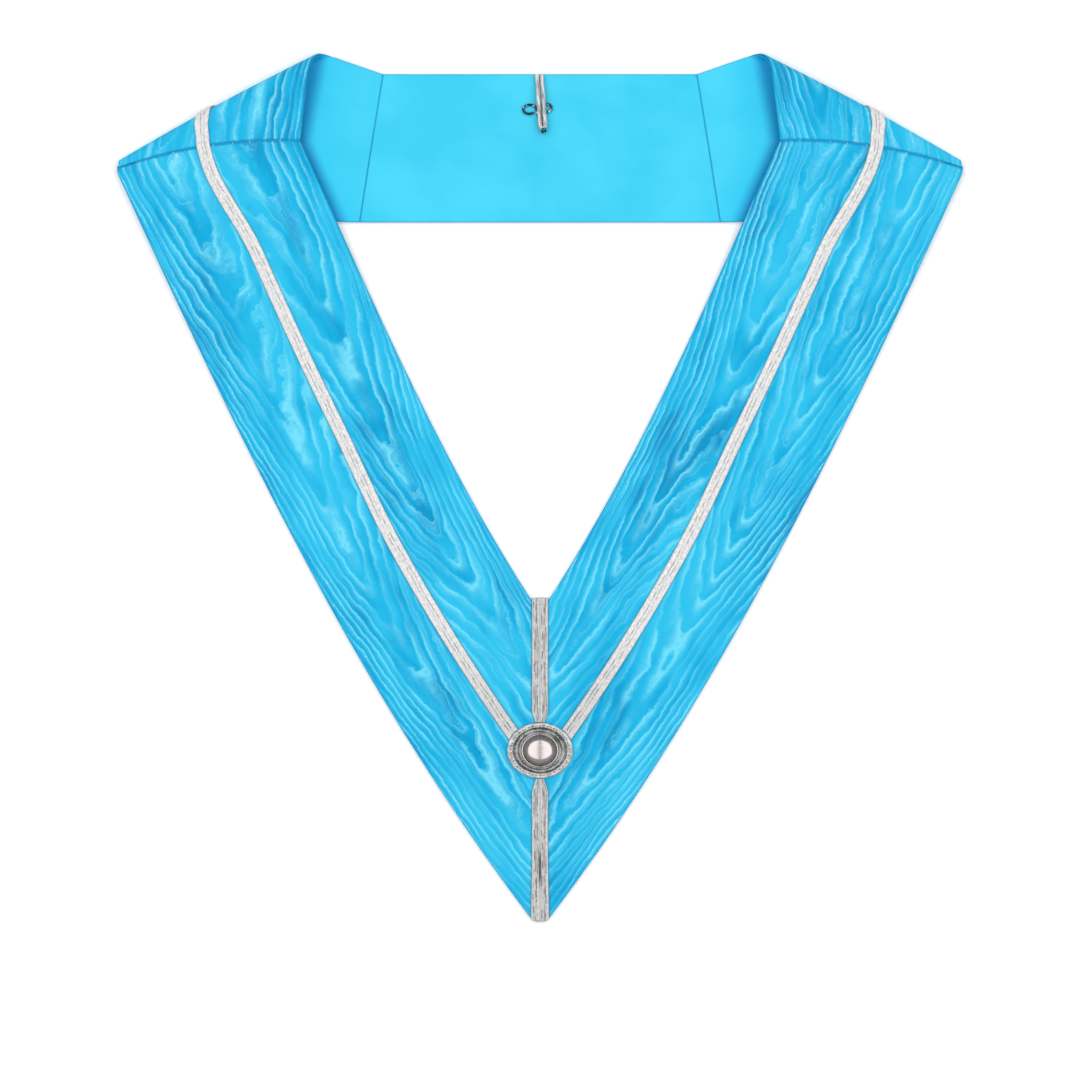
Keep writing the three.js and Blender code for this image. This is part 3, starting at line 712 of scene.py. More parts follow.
def front_face(u, v):
    """Moire face of the left front: straight across between its two edges, bowed at the seam, and
    lowered from the seam to the floor by a squared share; slight waves lift it where it is free."""
    u, v = np.broadcast_arrays(u, v)
    neck = edge_line(neck_seam, throat_end, NECK_EDGE_BOW, NECK_EDGE_SKEW, v)
    outer = edge_line(outer_seam, point_end, OUTER_EDGE_BOW, OUTER_EDGE_SKEW, v)
    outer[..., 0] += CORNER_INSET * (1 - np.clip(v * FRONT_RUN / CORNER_REACH_ALONG, 0, 1)) ** 2
    place = mix(neck, outer, u)
    place[..., 1] += SEAM_BOW * bow(u) * (1 - np.clip(v / SEAM_BOW_SHARE, 0, 1)) ** 2
    seam_top = 2 * fold_radius(u) - SHOULDER_SINK * (1 - u) + crown(u, np.full(u.shape, 3.0))
    lift = (1 - np.clip(v / LIFTED_SHARE, 0, 1)) ** 2
    wave = 0.5 + 0.5 * np.sin(2 * np.pi * 3.1 * v + 2.6 * u) * np.sin(2 * np.pi * 1.3 * v - 3.1 * u + 1)
    wave = WAVE_HEIGHT * wave * ease(v / WAVE_START_SHARE) * ease((WAVE_END_SHARE - v) / WAVE_FADE_SHARE)
    place[..., 2] = CLOTH_THICK + (seam_top - CLOTH_THICK) * lift + wave + pucker(u, v * FRONT_RUN)
    return place


def front_cloth(middle, u):
    """Cloth coordinates of a front: across between its selvages, and along its straight course."""
    course = (throat_end + point_end - neck_seam - outer_seam)[:2]
    course = course / np.linalg.norm(course)
    return np.stack([u * BAND_WIDTH, (middle[..., :2] - neck_seam[:2]) @ course], axis=-1)


FRONT_SHIFT = 5.3
FRONT_SPACING = 2.3
for name, mirrored, shift in SIDES:
    cloth_piece("front_cloth_" + name, "front_" + name, front_face, (0, 1), (0, CLOTH_THICK),
                [moire, lining], mirrored=mirrored,
                uv_shift=shift + FRONT_SHIFT, uv_of=front_cloth, split_rim=True, spacing=FRONT_SPACING)

# Side braids
# Flat silver braid of two plaited cords, sewn along the middle of the back, shoulders and fronts.
# It ends at the rosette. Fine dark gaps run between its threads; their darkness, and its darker sides, are
# painted shade.
BRAID_WIDTH = 8.6
BRAID_THICK = 1.2
BRAID_GROOVE = 0.35
PLAIT_PITCH = 2.1
PLAIT_RELIEF = 0.1
PLAIT_EDGE = 0.55
PLAIT_LEAN = 0.55
SQUARE_CUT_SHARE = 0.2
ROSETTE_RADIUS = 20.7
ROSETTE_OVAL = 0.845
SEAM_SKIP = 0.02
DARKENING_REACH = 90
BACK_ROWS = 60
LOWER_ROWS = 90
FOLD_ROWS = 40
UPPER_ROWS = 170
FRONT_ROWS = 1050
HALVINGS = 20

BRAID_DULL = (0.615, 0.61, 0.61)
BRAID_BRIGHT = (0.78, 0.775, 0.775)
BRAID_NEAR_ROSETTE = (0.18, 0.19, 0.18)
BRAID_SHADE = (0.13, 0.12, 0.12)
BRAID_SLIT_SHADOW = (0.035, 0.03, 0.03)
DARK_LINES = ((-0.0012, 0.0003), (0.0009, 0.00026))
LINE_DRIFT = 0.0028
braid_threads, tree, inputs = shader("silver_braid_threads")
cloth, parts = cloth_place(tree)
wander = calc(tree, "MULTIPLY_ADD", speckle(tree, cloth, (0, 40), 2.7, 1.0), LINE_DRIFT, -LINE_DRIFT / 2)
drifted = calc(tree, "ADD", parts[0], wander)
# Painted shade: dashed dark lines in the gaps between strands, with dark specks, the braid's sides and the
# gaps between cords.
lines = 0.0
for centre, half in DARK_LINES:
    off = calc(tree, "ABSOLUTE", calc(tree, "SUBTRACT", drifted, centre))
    lines = calc(tree, "MAXIMUM", lines, spread(tree, off, half * 0.5, half * 1.6, 1.0, 0.0))
dashes = spread(tree, speckle(tree, cloth, (260, 150), 9.1, 2.0), 0.46, 0.56)
dark = calc(tree, "MULTIPLY", lines, spread(tree, dashes, 0.0, 1.0, 0.28, 1.0))
gap = mark(tree, "gap")
rosette_darkening = mark(tree, "rosette_darkening")
for darker in (spread(tree, speckle(tree, cloth, (1300, 800), 3.3, 2.0), 0.58, 0.72, 0.0, 0.4),
               spread(tree, mark(tree, "side_share"), 0.90, 1.0, 0.0, 0.8), gap):
    dark = calc(tree, "MAXIMUM", dark, darker)
colour = spread(tree, speckle(tree, cloth, (700, 420), 5.1), 0.35, 0.65)
colour = tint(tree, colour, BRAID_DULL, BRAID_BRIGHT)
# Darker towards the rosette and all over the centre braids, where the painted shade lines also grow
# stronger.
colour = tint(tree, calc(tree, "MULTIPLY", rosette_darkening, 0.24), colour, BRAID_NEAR_ROSETTE)
strength = calc(tree, "MULTIPLY_ADD", rosette_darkening, 0.35, 0.62)
colour = tint(tree, calc(tree, "MULTIPLY", dark, strength), colour, BRAID_SHADE)
# Painted shadow, nearly black, in the slit and the deepest gaps between cords.
colour = tint(tree, spread(tree, gap, 0.72, 0.95), colour, BRAID_SLIT_SHADOW)
slant_threads(tree, inputs, calc(tree, "ABSOLUTE", parts[0]), parts[1], 0.8, 0.0006, 0.00008, 0.6)
dress(tree, inputs, Base_Color=colour, Metallic=0.25, Roughness=0.42)


def braid_place(run, s, across, height):
    """Points of a braid on a face: across is a share of its width, height is above the face. Its
    cut follows the weft, and turns square to the braid along the front."""
    face, station, length, square_cut = run
    s, across = np.broadcast_arrays(s, across)
    share = braid_share(s + station)
    du, ds, normal = tangents(face, share, s, (0, length))
    ahead, behind = np.minimum(s + SLOPE_STEP, length), np.maximum(s - SLOPE_STEP, 0)
    drift = (braid_share(ahead + station) - braid_share(behind + station)) / (ahead - behind)
    course = ds + du * drift[..., None]
    course /= np.linalg.norm(course, axis=-1, keepdims=True)
    side = np.cross(course, normal)
    side *= np.sign(np.sum(side * du, axis=-1, keepdims=True))
    uu, us, ss = (np.sum(a * b, axis=-1) for a, b in ((du, du), (du, ds), (ds, ds)))
    side_u, side_s = np.sum(side * du, axis=-1), np.sum(side * ds, axis=-1)
    scale = uu * ss - us * us
    square = ease(s / SQUARE_CUT_SHARE) if square_cut else 0 * s
    weft = 1 / np.linalg.norm(np.cross(du, course), axis=-1)
    u = share + between(weft, (side_u * ss - side_s * us) / scale, square) * across * BRAID_WIDTH
    along = s + square * (side_s * uu - side_u * us) / scale * across * BRAID_WIDTH
    along = np.clip(along, 0, length)
    return face(u, along) + tangents(face, u, along, (0, length))[2] * height[..., None]


def back_half(u, s):
    """The back band from its middle, s = 0, to the left seam, s = 1."""
    return back_face(u, 0.5 + s / 2)


def plait(across, distance):
    """Height share of two plaited cords side by side: rounded, with a groove between, and slanting
    threads of PLAIT_PITCH that meet in the groove."""
    turn = np.clip(4 * np.abs(across) - 1, -1, 1)
    low = np.where(turn < 0, 1 - BRAID_GROOVE, PLAIT_EDGE)
    round_top = low + (1 - low) * np.sqrt(1 - turn ** 2) ** 0.8
    phase = distance / PLAIT_PITCH + PLAIT_LEAN * turn + 0.5 * (across > 0)
    return round_top + PLAIT_RELIEF * (np.abs(np.sin(np.pi * phase)) - 1) * (1 - 0.4 * np.abs(turn))


def end_caps(rows, columns):
    """Quads that close both ends of a tube whose second half of columns runs back under the first."""
    top = np.arange(columns // 2 - 1)
    cap = np.stack([top, top + 1, columns - 2 - top, columns - 1 - top], axis=-1)
    return np.concatenate([cap, cap[:, ::-1] + (rows - 1) * columns])


def braid_end(across):
    """Share of the front where each line of the braid meets the rosette's oval, by halving."""
    outside, inside = np.full(across.shape, 0.5), np.ones(across.shape)
    for _ in range(HALVINGS):
        middle = (outside + inside) / 2
        place = braid_place(front_run, middle, across, 0 * across)
        reach = np.hypot(place[..., 0] / (ROSETTE_RADIUS + TRIM_GAP),
                         (place[..., 1] - ROSETTE_HEIGHT) / (ROSETTE_RADIUS * ROSETTE_OVAL + TRIM_GAP))
        outside, inside = np.where(reach > 1, middle, outside), np.where(reach > 1, inside, middle)
    return outside


back_run = (back_half, -1, 1, False)
shoulder_run = (shoulder_face, 0, 3, False)
front_run = (front_face, 3, 1, True)
half_section = np.linspace(-0.5, 0.5, 17)
section_across = np.concatenate([half_section, half_section[::-1]])
stretches = [(back_run, np.linspace(SEAM_GAP / 2 / BAND_NECK_HALF, 1, BACK_ROWS)),
             (shoulder_run, np.linspace(SEAM_SKIP, 1, LOWER_ROWS)),
             (shoulder_run, np.linspace(1, 2, FOLD_ROWS)[1:]),
             (shoulder_run, np.linspace(2, 3, UPPER_ROWS)[1:])]
front_end = braid_end(section_across)
front_rows = SEAM_SKIP + (front_end - SEAM_SKIP) * np.linspace(0, 1, FRONT_ROWS)[:, None]
stations = [(run, np.repeat(s[:, None], section_across.size, axis=1)) for run, s in stretches]
stations.append((front_run, front_rows))


def braid_grid(height):
    """All rows of the side braid, at one height for each point of its section."""
    rows, start = [], 0
    for run, s in stations:
        part = height[start:start + len(s)]
        rows.append(braid_place(run, s, np.broadcast_to(section_across, s.shape), part))
        start += len(s)
    return np.concatenate(rows)


row_count = sum(len(s) for _, s in stations)
base = braid_grid(np.full((row_count, section_across.size), TRIM_GAP))
centre_line = base[:, len(half_section) // 2]
distance = np.concatenate([[0], np.cumsum(np.linalg.norm(np.diff(centre_line, axis=0), axis=-1))])[:, None]
is_top = np.arange(section_across.size) < len(half_section)
braid_points = braid_grid(TRIM_GAP + BRAID_THICK * is_top * plait(section_across, distance))
braid_uv = np.stack(np.broadcast_arrays(section_across * BRAID_WIDTH, distance), axis=-1) * MM
braid_quads = np.concatenate([grid_quads(row_count, section_across.size, wrap=True),
                              end_caps(row_count, section_across.size)])
side_share = np.broadcast_to(np.abs(section_across) * 2, distance.shape[:1] + section_across.shape)
near_rosette = ease((distance - distance[-1] + DARKENING_REACH) / DARKENING_REACH) + 0 * side_share
braid_marks = {"side_share": side_share, "gap": 0 * side_share, "rosette_darkening": near_rosette}
for name, mirrored, shift in SIDES:
    side_braid = make_piece("braid_threads_" + name, braid_points, braid_quads,
                            [braid_threads], uv=braid_uv + np.array([0, shift]), marks=braid_marks,
                            mirrored=mirrored)
    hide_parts("braid_" + name)

# Centre braids
# The same braid, doubled to four cords, covers the mitre above and below the rosette. Its ends
# are turned down over the cloth's edge; by the rosette its cords are drawn together.
FRONT_TOP = CLOTH_THICK + TRIM_GAP
ROSETTE_EDGE = ROSETTE_RADIUS * ROSETTE_OVAL + TRIM_GAP
TURN_RADIUS = 0.3
SLIT_FROM_POINT = 34.0
SLIT_HALF_LENGTH = 11.0
END_REACH = 40.0
CORNER_REACH = 6.0
SLIT_WIDTH = 0.75
SLIT_DEPTH = 0.75
CORD_GAP_WIDTH = 0.4
CORD_GAP_DEPTH = 0.3
CENTRE_ROW_SPACING = 0.45


def centre_braid(name, ring_y, fold_y, drawn_width, drawn_reach, end_width, end_round, slit_y):
    """A double braid from the ring at ring_y to the cloth's edge at fold_y, where it turns down on
    a round of TURN_RADIUS. Its width starts at the share drawn_width, is full after drawn_reach
    and ends at the share end_width, its corners set back by end_round; the cords part at slit_y."""
    way = math.copysign(1, fold_y - ring_y)
    run = abs(fold_y - ring_y) - TURN_RADIUS
    drop = FRONT_TOP - TRIM_GAP - TURN_RADIUS
    flat = np.linspace(0, run, int(run / CENTRE_ROW_SPACING))
    turn = np.linspace(0, np.pi / 2, 9)[1:]
    fall = np.linspace(0, drop, 5)[1:]
    y = np.concatenate([ring_y + way * flat, ring_y + way * (run + TURN_RADIUS * np.sin(turn)),
                        fold_y + 0 * fall])[:, None]
    z = np.concatenate([FRONT_TOP + 0 * flat, FRONT_TOP - TURN_RADIUS * (1 - np.cos(turn)),
                        FRONT_TOP - TURN_RADIUS - fall])[:, None]
    angle = np.concatenate([0 * flat, turn, np.pi / 2 + 0 * fall])[:, None]
    distance = np.concatenate([flat, run + TURN_RADIUS * turn,
                               run + TURN_RADIUS * np.pi / 2 + fall])[:, None]
    half = np.linspace(-0.5, 0.5, 33)
    across = np.concatenate([half, half[::-1]])
    is_top = np.arange(across.size) < half.size
    cord = np.where(across < 0, across + 0.25, across - 0.25) * 2
    height = plait(cord, distance)
    slit = np.exp(-((y - slit_y) / SLIT_HALF_LENGTH) ** 4)
    middle_gap = slit * np.exp(-((across * CENTRE_BRAID_WIDTH) / SLIT_WIDTH) ** 2)
    uneven = 0.45 + 0.3 * np.sin(distance / 1.9 + 2 * np.sin(distance / 5.3) + 2 * across)
    between_cords = np.exp(-((np.abs(across) - 0.25) * CENTRE_BRAID_WIDTH / CORD_GAP_WIDTH) ** 2) * uneven
    gap = np.maximum(middle_gap, between_cords)
    height = height - SLIT_DEPTH * middle_gap - CORD_GAP_DEPTH * between_cords
    height = BRAID_THICK * np.where(is_top, height, 0)
    width = CENTRE_BRAID_WIDTH * between(drawn_width, 1, ease(distance / drawn_reach))
    width = width * between(1, end_width, ease((distance - run + END_REACH) / END_REACH))
    set_back = way * end_round * (2 * across) ** 4 * ease((distance - run + CORNER_REACH) / CORNER_REACH)
    points = xyz(across * width, y + way * np.sin(angle) * height - set_back, z + np.cos(angle) * height)
    rows, columns = points.shape[:2]
    quads = np.concatenate([grid_quads(rows, columns, wrap=True), end_caps(rows, columns)])
    uv = np.stack(np.broadcast_arrays(cord * BRAID_WIDTH * 0.6, distance + 40 * (across > 0)), axis=-1) * MM
    marks = {"side_share": np.broadcast_to(np.abs(across) * 2, points.shape[:2]), "gap": gap,
             "rosette_darkening": np.ones(points.shape[:2])}
    return make_piece(name, points, quads, [braid_threads], uv=uv, marks=marks)


upper_braid = centre_braid("centre_braid_threads_upper", ROSETTE_HEIGHT + ROSETTE_EDGE,
                           THROAT_HEIGHT + TRIM_GAP, drawn_width=0.62, drawn_reach=7.0, end_width=1.0,
                           end_round=0.6, slit_y=THROAT_HEIGHT * 2)
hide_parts("centre_braid_upper")
lower_braid = centre_braid("centre_braid_threads_lower", ROSETTE_HEIGHT - ROSETTE_EDGE, BRAID_THICK,
                           drawn_width=0.55, drawn_reach=9.0, end_width=1.12, end_round=1.9,
                           slit_y=SLIT_FROM_POINT)
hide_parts("centre_braid_lower")

# Rosette edge braid
# A round of the silver braid, on edge, sewn to the fronts where the braids meet: a smooth outer
# cord and a thinner inner one, with dark stitches in the groove between.
EDGE_BRAID_WIDTH = 3.6
EDGE_BRAID_HEIGHT = 2.2
RING_STEPS = 320
GROOVE_PLACE = 0.28
GROOVE_WIDTH = 0.14
GROOVE_DEPTH = 0.55
EDGE_TWIST = 0.05
EDGE_TURNS = 34
ring_angle = np.linspace(0, 2 * np.pi, RING_STEPS, endpoint=False)[:, None]


def turned(radius, height, oval, seat, angle=ring_angle):
    """A profile of radius and height, turned round the button's axis and squeezed to an oval."""
    return xyz(radius * np.cos(angle), ROSETTE_HEIGHT + oval * radius * np.sin(angle), seat + height)


edge_turn = np.linspace(0, 2 * np.pi, 36, endpoint=False)
edge_across = np.cos(edge_turn)
edge_groove = GROOVE_DEPTH * np.exp(-((edge_across + GROOVE_PLACE) / GROOVE_WIDTH) ** 2)
edge_groove = edge_groove * (np.sin(edge_turn) > 0)
edge_twist = EDGE_TWIST * np.abs(np.sin(EDGE_TURNS * ring_angle + 1.5 * edge_turn))
edge_radius = ROSETTE_RADIUS - EDGE_BRAID_WIDTH / 2 + edge_across * EDGE_BRAID_WIDTH / 2 - edge_twist
edge_height = (1 + np.sin(edge_turn)) * EDGE_BRAID_HEIGHT / 2 - edge_groove
edge_points = turned(edge_radius, edge_height, ROSETTE_OVAL, FRONT_TOP)
edge_uv = np.stack(np.broadcast_arrays(edge_across * EDGE_BRAID_WIDTH / 2, ring_angle * ROSETTE_RADIUS),
                   axis=-1) * MM

RING_DULL = (0.38, 0.38, 0.38)
RING_BRIGHT = (0.70, 0.69, 0.68)
RING_SHADE = (0.10, 0.10, 0.10)
STITCH_PITCH = 0.0026
ring_threads, tree, inputs = shader("rosette_edge_threads")
cloth, parts = cloth_place(tree)
off = calc(tree, "ABSOLUTE", calc(tree, "ADD", parts[0], GROOVE_PLACE * EDGE_BRAID_WIDTH / 2 * MM))
groove = spread(tree, off, 0.00022, 0.0006, 1.0, 0.0)
uneven = calc(tree, "MULTIPLY_ADD", speckle(tree, cloth, (300, 300), 6.6, 2.0), 9.0,
              calc(tree, "MULTIPLY", parts[1], 2 * math.pi / STITCH_PITCH))
dots = spread(tree, calc(tree, "SINE", uneven), -0.5, 0.5)
fleck = spread(tree, speckle(tree, cloth, (1100, 600), 4.2, 2.0), 0.54, 0.68, 0.0, 0.35)
dark = calc(tree, "MAXIMUM", calc(tree, "MULTIPLY", groove, dots), fleck)
colour = spread(tree, speckle(tree, cloth, (420, 260), 5.1), 0.35, 0.65)
colour = tint(tree, colour, RING_DULL, RING_BRIGHT)
colour = tint(tree, calc(tree, "MULTIPLY", dark, 0.85), colour, RING_SHADE)
slant_threads(tree, inputs, parts[0], parts[1], 0.9, 0.0007, 0.00008, 0.5)
dress(tree, inputs, Base_Color=colour, Metallic=0.25, Roughness=0.4)
edge_quads = grid_quads(*edge_points.shape[:2], wrap=True, ring=True)
rosette_edge = make_piece("rosette_edge_threads", edge_points, edge_quads,
                          [ring_threads], uv=edge_uv)
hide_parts("rosette_edge_braid")

# Rosette coil
# A disc of dark grey woven braid inside the ring, with the metal button on its middle. The weave
# goes over and under in rings and spokes.
COIL_HEIGHT = 1.6
COIL_RINGS = 1.5
COIL_SPOKES = 46
COIL_RELIEF = 0.16
COIL_STRAND = 2.2
COIL_CORNER = 0.8
coil_radius = ROSETTE_RADIUS - EDGE_BRAID_WIDTH - TRIM_GAP
coil_turn = np.linspace(0, np.pi / 2, 7)[1:]
coil_out = np.concatenate([np.linspace(0, coil_radius - 0.5, 8), np.full(4, coil_radius),
                           coil_radius - COIL_CORNER * (1 - np.cos(coil_turn)),
                           np.linspace(coil_radius - COIL_CORNER, 0, 52)[1:]])
coil_up = np.concatenate([np.zeros(8), np.linspace(0, COIL_CORNER, 4),
                          COIL_CORNER * (1 + np.sin(coil_turn)), np.full(51, COIL_HEIGHT)])
weave = np.sin(2 * np.pi * coil_out / COIL_RINGS) * np.sin(COIL_SPOKES * ring_angle)
strand_turn = 2 * np.pi * (coil_out - coil_radius + 0.15) / COIL_STRAND
strand_mark = np.sin(strand_turn + 0.7 * np.sin(2 * ring_angle + 1))
on_top = ease((coil_up - 1.2) / 0.4) * ease((coil_out - 9) / 2)
coil_points = turned(coil_out, coil_up + COIL_RELIEF * (weave - 1) * on_top, ROSETTE_OVAL, FRONT_TOP)

COIL_DARK = (0.04, 0.04, 0.04)
COIL_FAIR = (0.36, 0.36, 0.36)
dark_threads, tree, inputs = shader("dark_braid_threads")
# Painted shade: lighter where the weave rises and darker in its dips, over a random tone and strand lines.
weave_shade_and_tone = calc(tree, "MULTIPLY_ADD", grain(tree, 620.0, 3.0), 0.8, grain(tree, 150.0, 2.0))
weave_shade_and_tone = calc(tree, "MULTIPLY_ADD", mark(tree, "weave"), 0.16, weave_shade_and_tone)
weave_shade_and_tone = calc(tree, "MULTIPLY_ADD", mark(tree, "strand"), 0.2, weave_shade_and_tone)
dress(tree, inputs, Base_Color=tint(tree, spread(tree, weave_shade_and_tone, 0.66, 1.22), COIL_DARK, COIL_FAIR),
      Metallic=0.4, Roughness=0.5)
coil = make_piece("rosette_coil_threads", coil_points, grid_quads(*coil_points.shape[:2], ring=True),
                  [dark_threads], marks={"weave": weave, "strand": strand_mark}, weld=True)
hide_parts("rosette_coil")

# Button rim
# A thin ring of silver wire, bent round and laid on the coil, where the button's flange holds it.
RIM_RADIUS = 11.8
RIM_WIRE = 1.1
BUTTON_OVAL = 0.9
button_seat = FRONT_TOP + COIL_HEIGHT + TRIM_GAP
RIM_SILVER = (0.46, 0.43, 0.42)
silver, tree, inputs = shader("polished_silver_metal")
dress(tree, inputs, Base_Color=RIM_SILVER, Metallic=1.0,
      Roughness=spread(tree, grain(tree, 900.0, 4.0), 0.3, 0.75, 0.10, 0.24))
rim_turn = np.linspace(0, 2 * np.pi, 20, endpoint=False)
rim_points = turned(RIM_RADIUS - RIM_WIRE / 2 + np.cos(rim_turn) * RIM_WIRE / 2,
                    (1 + np.sin(rim_turn)) * RIM_WIRE / 2, BUTTON_OVAL, button_seat)
rim_quads = grid_quads(*rim_points.shape[:2], wrap=True, ring=True)
rim_ring = make_piece("button_rim_wire", rim_points, rim_quads, [silver])
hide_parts("button_rim")

# Button
# A pressed silver dome on a flat flange, sewn through the coil. It is polished on top, and
# painted shade darkens it round its foot.
BUTTON_RADIUS = 8.8
FLANGE_WIDTH = 1.4
FLANGE_HEIGHT = 0.7
DOME_HEIGHT = 4.6
DOME_FULLNESS = 0.55
flange_radius = BUTTON_RADIUS + FLANGE_WIDTH
dome_turn = np.pi / 2 * np.linspace(0, 1, 49) ** 1.4
button_out = np.concatenate([[0, flange_radius - 0.2, flange_radius, flange_radius, flange_radius - 0.2],
                             np.linspace(flange_radius - 0.25, BUTTON_RADIUS + 0.1, 4),
                             BUTTON_RADIUS * np.cos(dome_turn)])
button_out[-1] = 0
dome_rise = (DOME_HEIGHT - FLANGE_HEIGHT) * np.sin(dome_turn) ** DOME_FULLNESS
button_up = np.concatenate([[0, 0, 0.2, FLANGE_HEIGHT - 0.2, FLANGE_HEIGHT], np.full(4, FLANGE_HEIGHT),
                            FLANGE_HEIGHT + dome_rise])
button_points = turned(button_out, button_up, BUTTON_OVAL, button_seat)
DOME_SILVER = (0.52, 0.475, 0.465)
DOME_FOOT_SHADE = (0.17, 0.15, 0.15)
dome_metal, tree, inputs = shader("button_metal")
# Painted shade: the flange and the dome's foot are darkened in colour.
foot_shade = spread(tree, mark(tree, "height_mm"), 0.7, 1.5, 1.0, 0.0)
dress(tree, inputs, Base_Color=tint(tree, foot_shade, DOME_SILVER, DOME_FOOT_SHADE), Metallic=1.0,
      Roughness=spread(tree, grain(tree, 900.0, 4.0), 0.3, 0.75, 0.18, 0.25))
height_mark = np.broadcast_to(button_up, button_points.shape[:2])
button = make_piece("button_dome", button_points, grid_quads(*button_points.shape[:2], ring=True),
                    [dome_metal], marks={"height_mm": height_mark}, weld=True)
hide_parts("button")

# Back loop
# Cord twisted of three silver strands, doubled back into a loop and sewn to the back's top edge.
# It passes over the hook and is caught on its curl.
CORD_DIAMETER = 2.8
LOOP_LENGTH = 36
LOOP_LEAN = 2.4
LOOP_TOP_OFFSET = -0.5
LOOP_SPACING = CORD_DIAMETER + TRIM_GAP
WIRE_DIAMETER = 1.5
HOOK_DROP = 22
EYELET_WIDTH = 7.2
CORD_TWIST = 5.2
loop_lift = WIRE_DIAMETER + TRIM_GAP
loop_end = BAND_TOP - LOOP_LENGTH


def lining_top(y):
    """Height of the back's lining at the middle of the band."""
    share = np.clip((BAND_TOP - y) / BAND_WIDTH, 0, 1)
    return crown(share, np.full(np.shape(share), -1.0)) + CLOTH_THICK


def smooth_route(points, spacing):
    """Points at an even spacing on the centripetal Catmull-Rom curve through the given ones."""
    ends = np.concatenate([[2 * points[0] - points[1]], points, [2 * points[-1] - points[-2]]])
    step = np.sqrt(np.linalg.norm(np.diff(ends, axis=0), axis=-1))[:, None]
    a, b, c, d = ends[:-3], ends[1:-2], ends[2:-1], ends[3:]
    before, here, after = step[:-2], step[1:-1], step[2:]
    leave = ((b - a) / before - (c - a) / (before + here) + (c - b) / here) * here
    arrive = ((c - b) / here - (d - b) / (here + after) + (d - c) / after) * here
    t = np.linspace(0, 1, 24, endpoint=False)[None, :, None]
    b, c, leave, arrive = (x[:, None] for x in (b, c, leave, arrive))
    curve = (2 * t ** 3 - 3 * t ** 2 + 1) * b + (t ** 3 - 2 * t ** 2 + t) * leave
    curve = curve + (3 * t ** 2 - 2 * t ** 3) * c + (t ** 3 - t ** 2) * arrive
    curve = np.concatenate([curve.reshape(-1, 3), points[-1:]])
    reach = np.concatenate([[0], np.cumsum(np.linalg.norm(np.diff(curve, axis=0), axis=-1))])
    even = np.linspace(0, reach[-1], int(reach[-1] / spacing))
    return np.stack([np.interp(even, reach, curve[:, k]) for k in range(3)], axis=-1), even


def tube(route, reach, diameter, sides, lobes=0, twist=1.0, relief=0.0):
    """A round tube along a route, with its frame carried along without twisting, closed by domed
    ends; lobes twisted strands at the pitch twist give it relief."""
    course = np.gradient(route, axis=0)
    course /= np.linalg.norm(course, axis=-1, keepdims=True)
    normal = np.zeros_like(course)
    carried = np.cross(course[0], [0.0, 0.0, 1.0])
    for row, ahead in enumerate(course):
        carried = carried - ahead * (carried @ ahead)
        carried = carried / np.linalg.norm(carried)
        normal[row] = carried
    side = np.cross(course, normal)
    angle = np.linspace(0, 2 * np.pi, sides, endpoint=False)[None, :, None]
    around = np.cos(angle) * normal[:, None] + np.sin(angle) * side[:, None]
    radius = np.full((len(route), sides, 1), diameter / 2)
    if lobes:
        strand = np.abs(np.cos(lobes / 2 * angle - np.pi * reach[:, None, None] * lobes / twist))
        radius = radius * (1 - relief + relief * strand)
    to_end = np.minimum(reach, reach[-1] - reach) / (diameter / 3)
    nose = np.sqrt(np.clip(1 - (1 - to_end).clip(0) ** 2, 0, 1))
    points = route[:, None] + around * radius * nose[:, None, None]
    uv = np.stack(np.broadcast_arrays(angle[..., 0] * diameter / 2, reach[:, None]), axis=-1) * MM
    return points, uv


def loop_at(side, y):
    """Centre of one strand of the loop at a place up the collar."""
    down = BAND_TOP - y
    x = LOOP_TOP_OFFSET + LOOP_LEAN * down / LOOP_LENGTH + side * LOOP_SPACING / 2
    lift = loop_lift * ease(down / (HOOK_DROP - EYELET_WIDTH))
    return xyz(x, y, lining_top(y) + TRIM_GAP + CORD_DIAMETER / 2 + lift)


turn_centre = loop_end + CORD_DIAMETER / 2 + LOOP_SPACING / 2
strand_y = np.linspace(BAND_TOP - TRIM_GAP, turn_centre, 8)
loop_angle = np.linspace(np.pi, 2 * np.pi, 7)[1:-1]
loop_turn = loop_at(0, np.full(5, turn_centre))
loop_turn += xyz(np.cos(loop_angle), np.sin(loop_angle), 0) * LOOP_SPACING / 2
loop_route = np.concatenate([loop_at(-1, strand_y), loop_turn, loop_at(1, strand_y[::-1])])
points, uv = tube(*smooth_route(loop_route, 0.2), CORD_DIAMETER, 20, lobes=3, twist=CORD_TWIST, relief=0.2)

CORD_DULL = (0.28, 0.30, 0.32)
CORD_BRIGHT = (0.74, 0.73, 0.71)
CORD_SHADE = (0.12, 0.12, 0.13)
cord_threads, tree, inputs = shader("silver_cord_threads")
cloth, parts = cloth_place(tree)
colour = spread(tree, speckle(tree, cloth, (620, 120), 5.1), 0.35, 0.62)
colour = tint(tree, colour, CORD_DULL, CORD_BRIGHT)
streak = spread(tree, speckle(tree, cloth, (900, 90), 8.8, 2.0), 0.56, 0.68, 0.0, 0.7)
colour = tint(tree, streak, colour, CORD_SHADE)
slant_threads(tree, inputs, parts[0], parts[1], 1.1, 0.0005, 0.00006, 0.6)
dress(tree, inputs, Base_Color=colour, Metallic=0.3, Roughness=0.4)
loop_piece = make_piece("back_loop_cord", points, grid_quads(*points.shape[:2], wrap=True),
                        [cord_threads], uv=uv, weld=True)
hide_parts("back_loop")

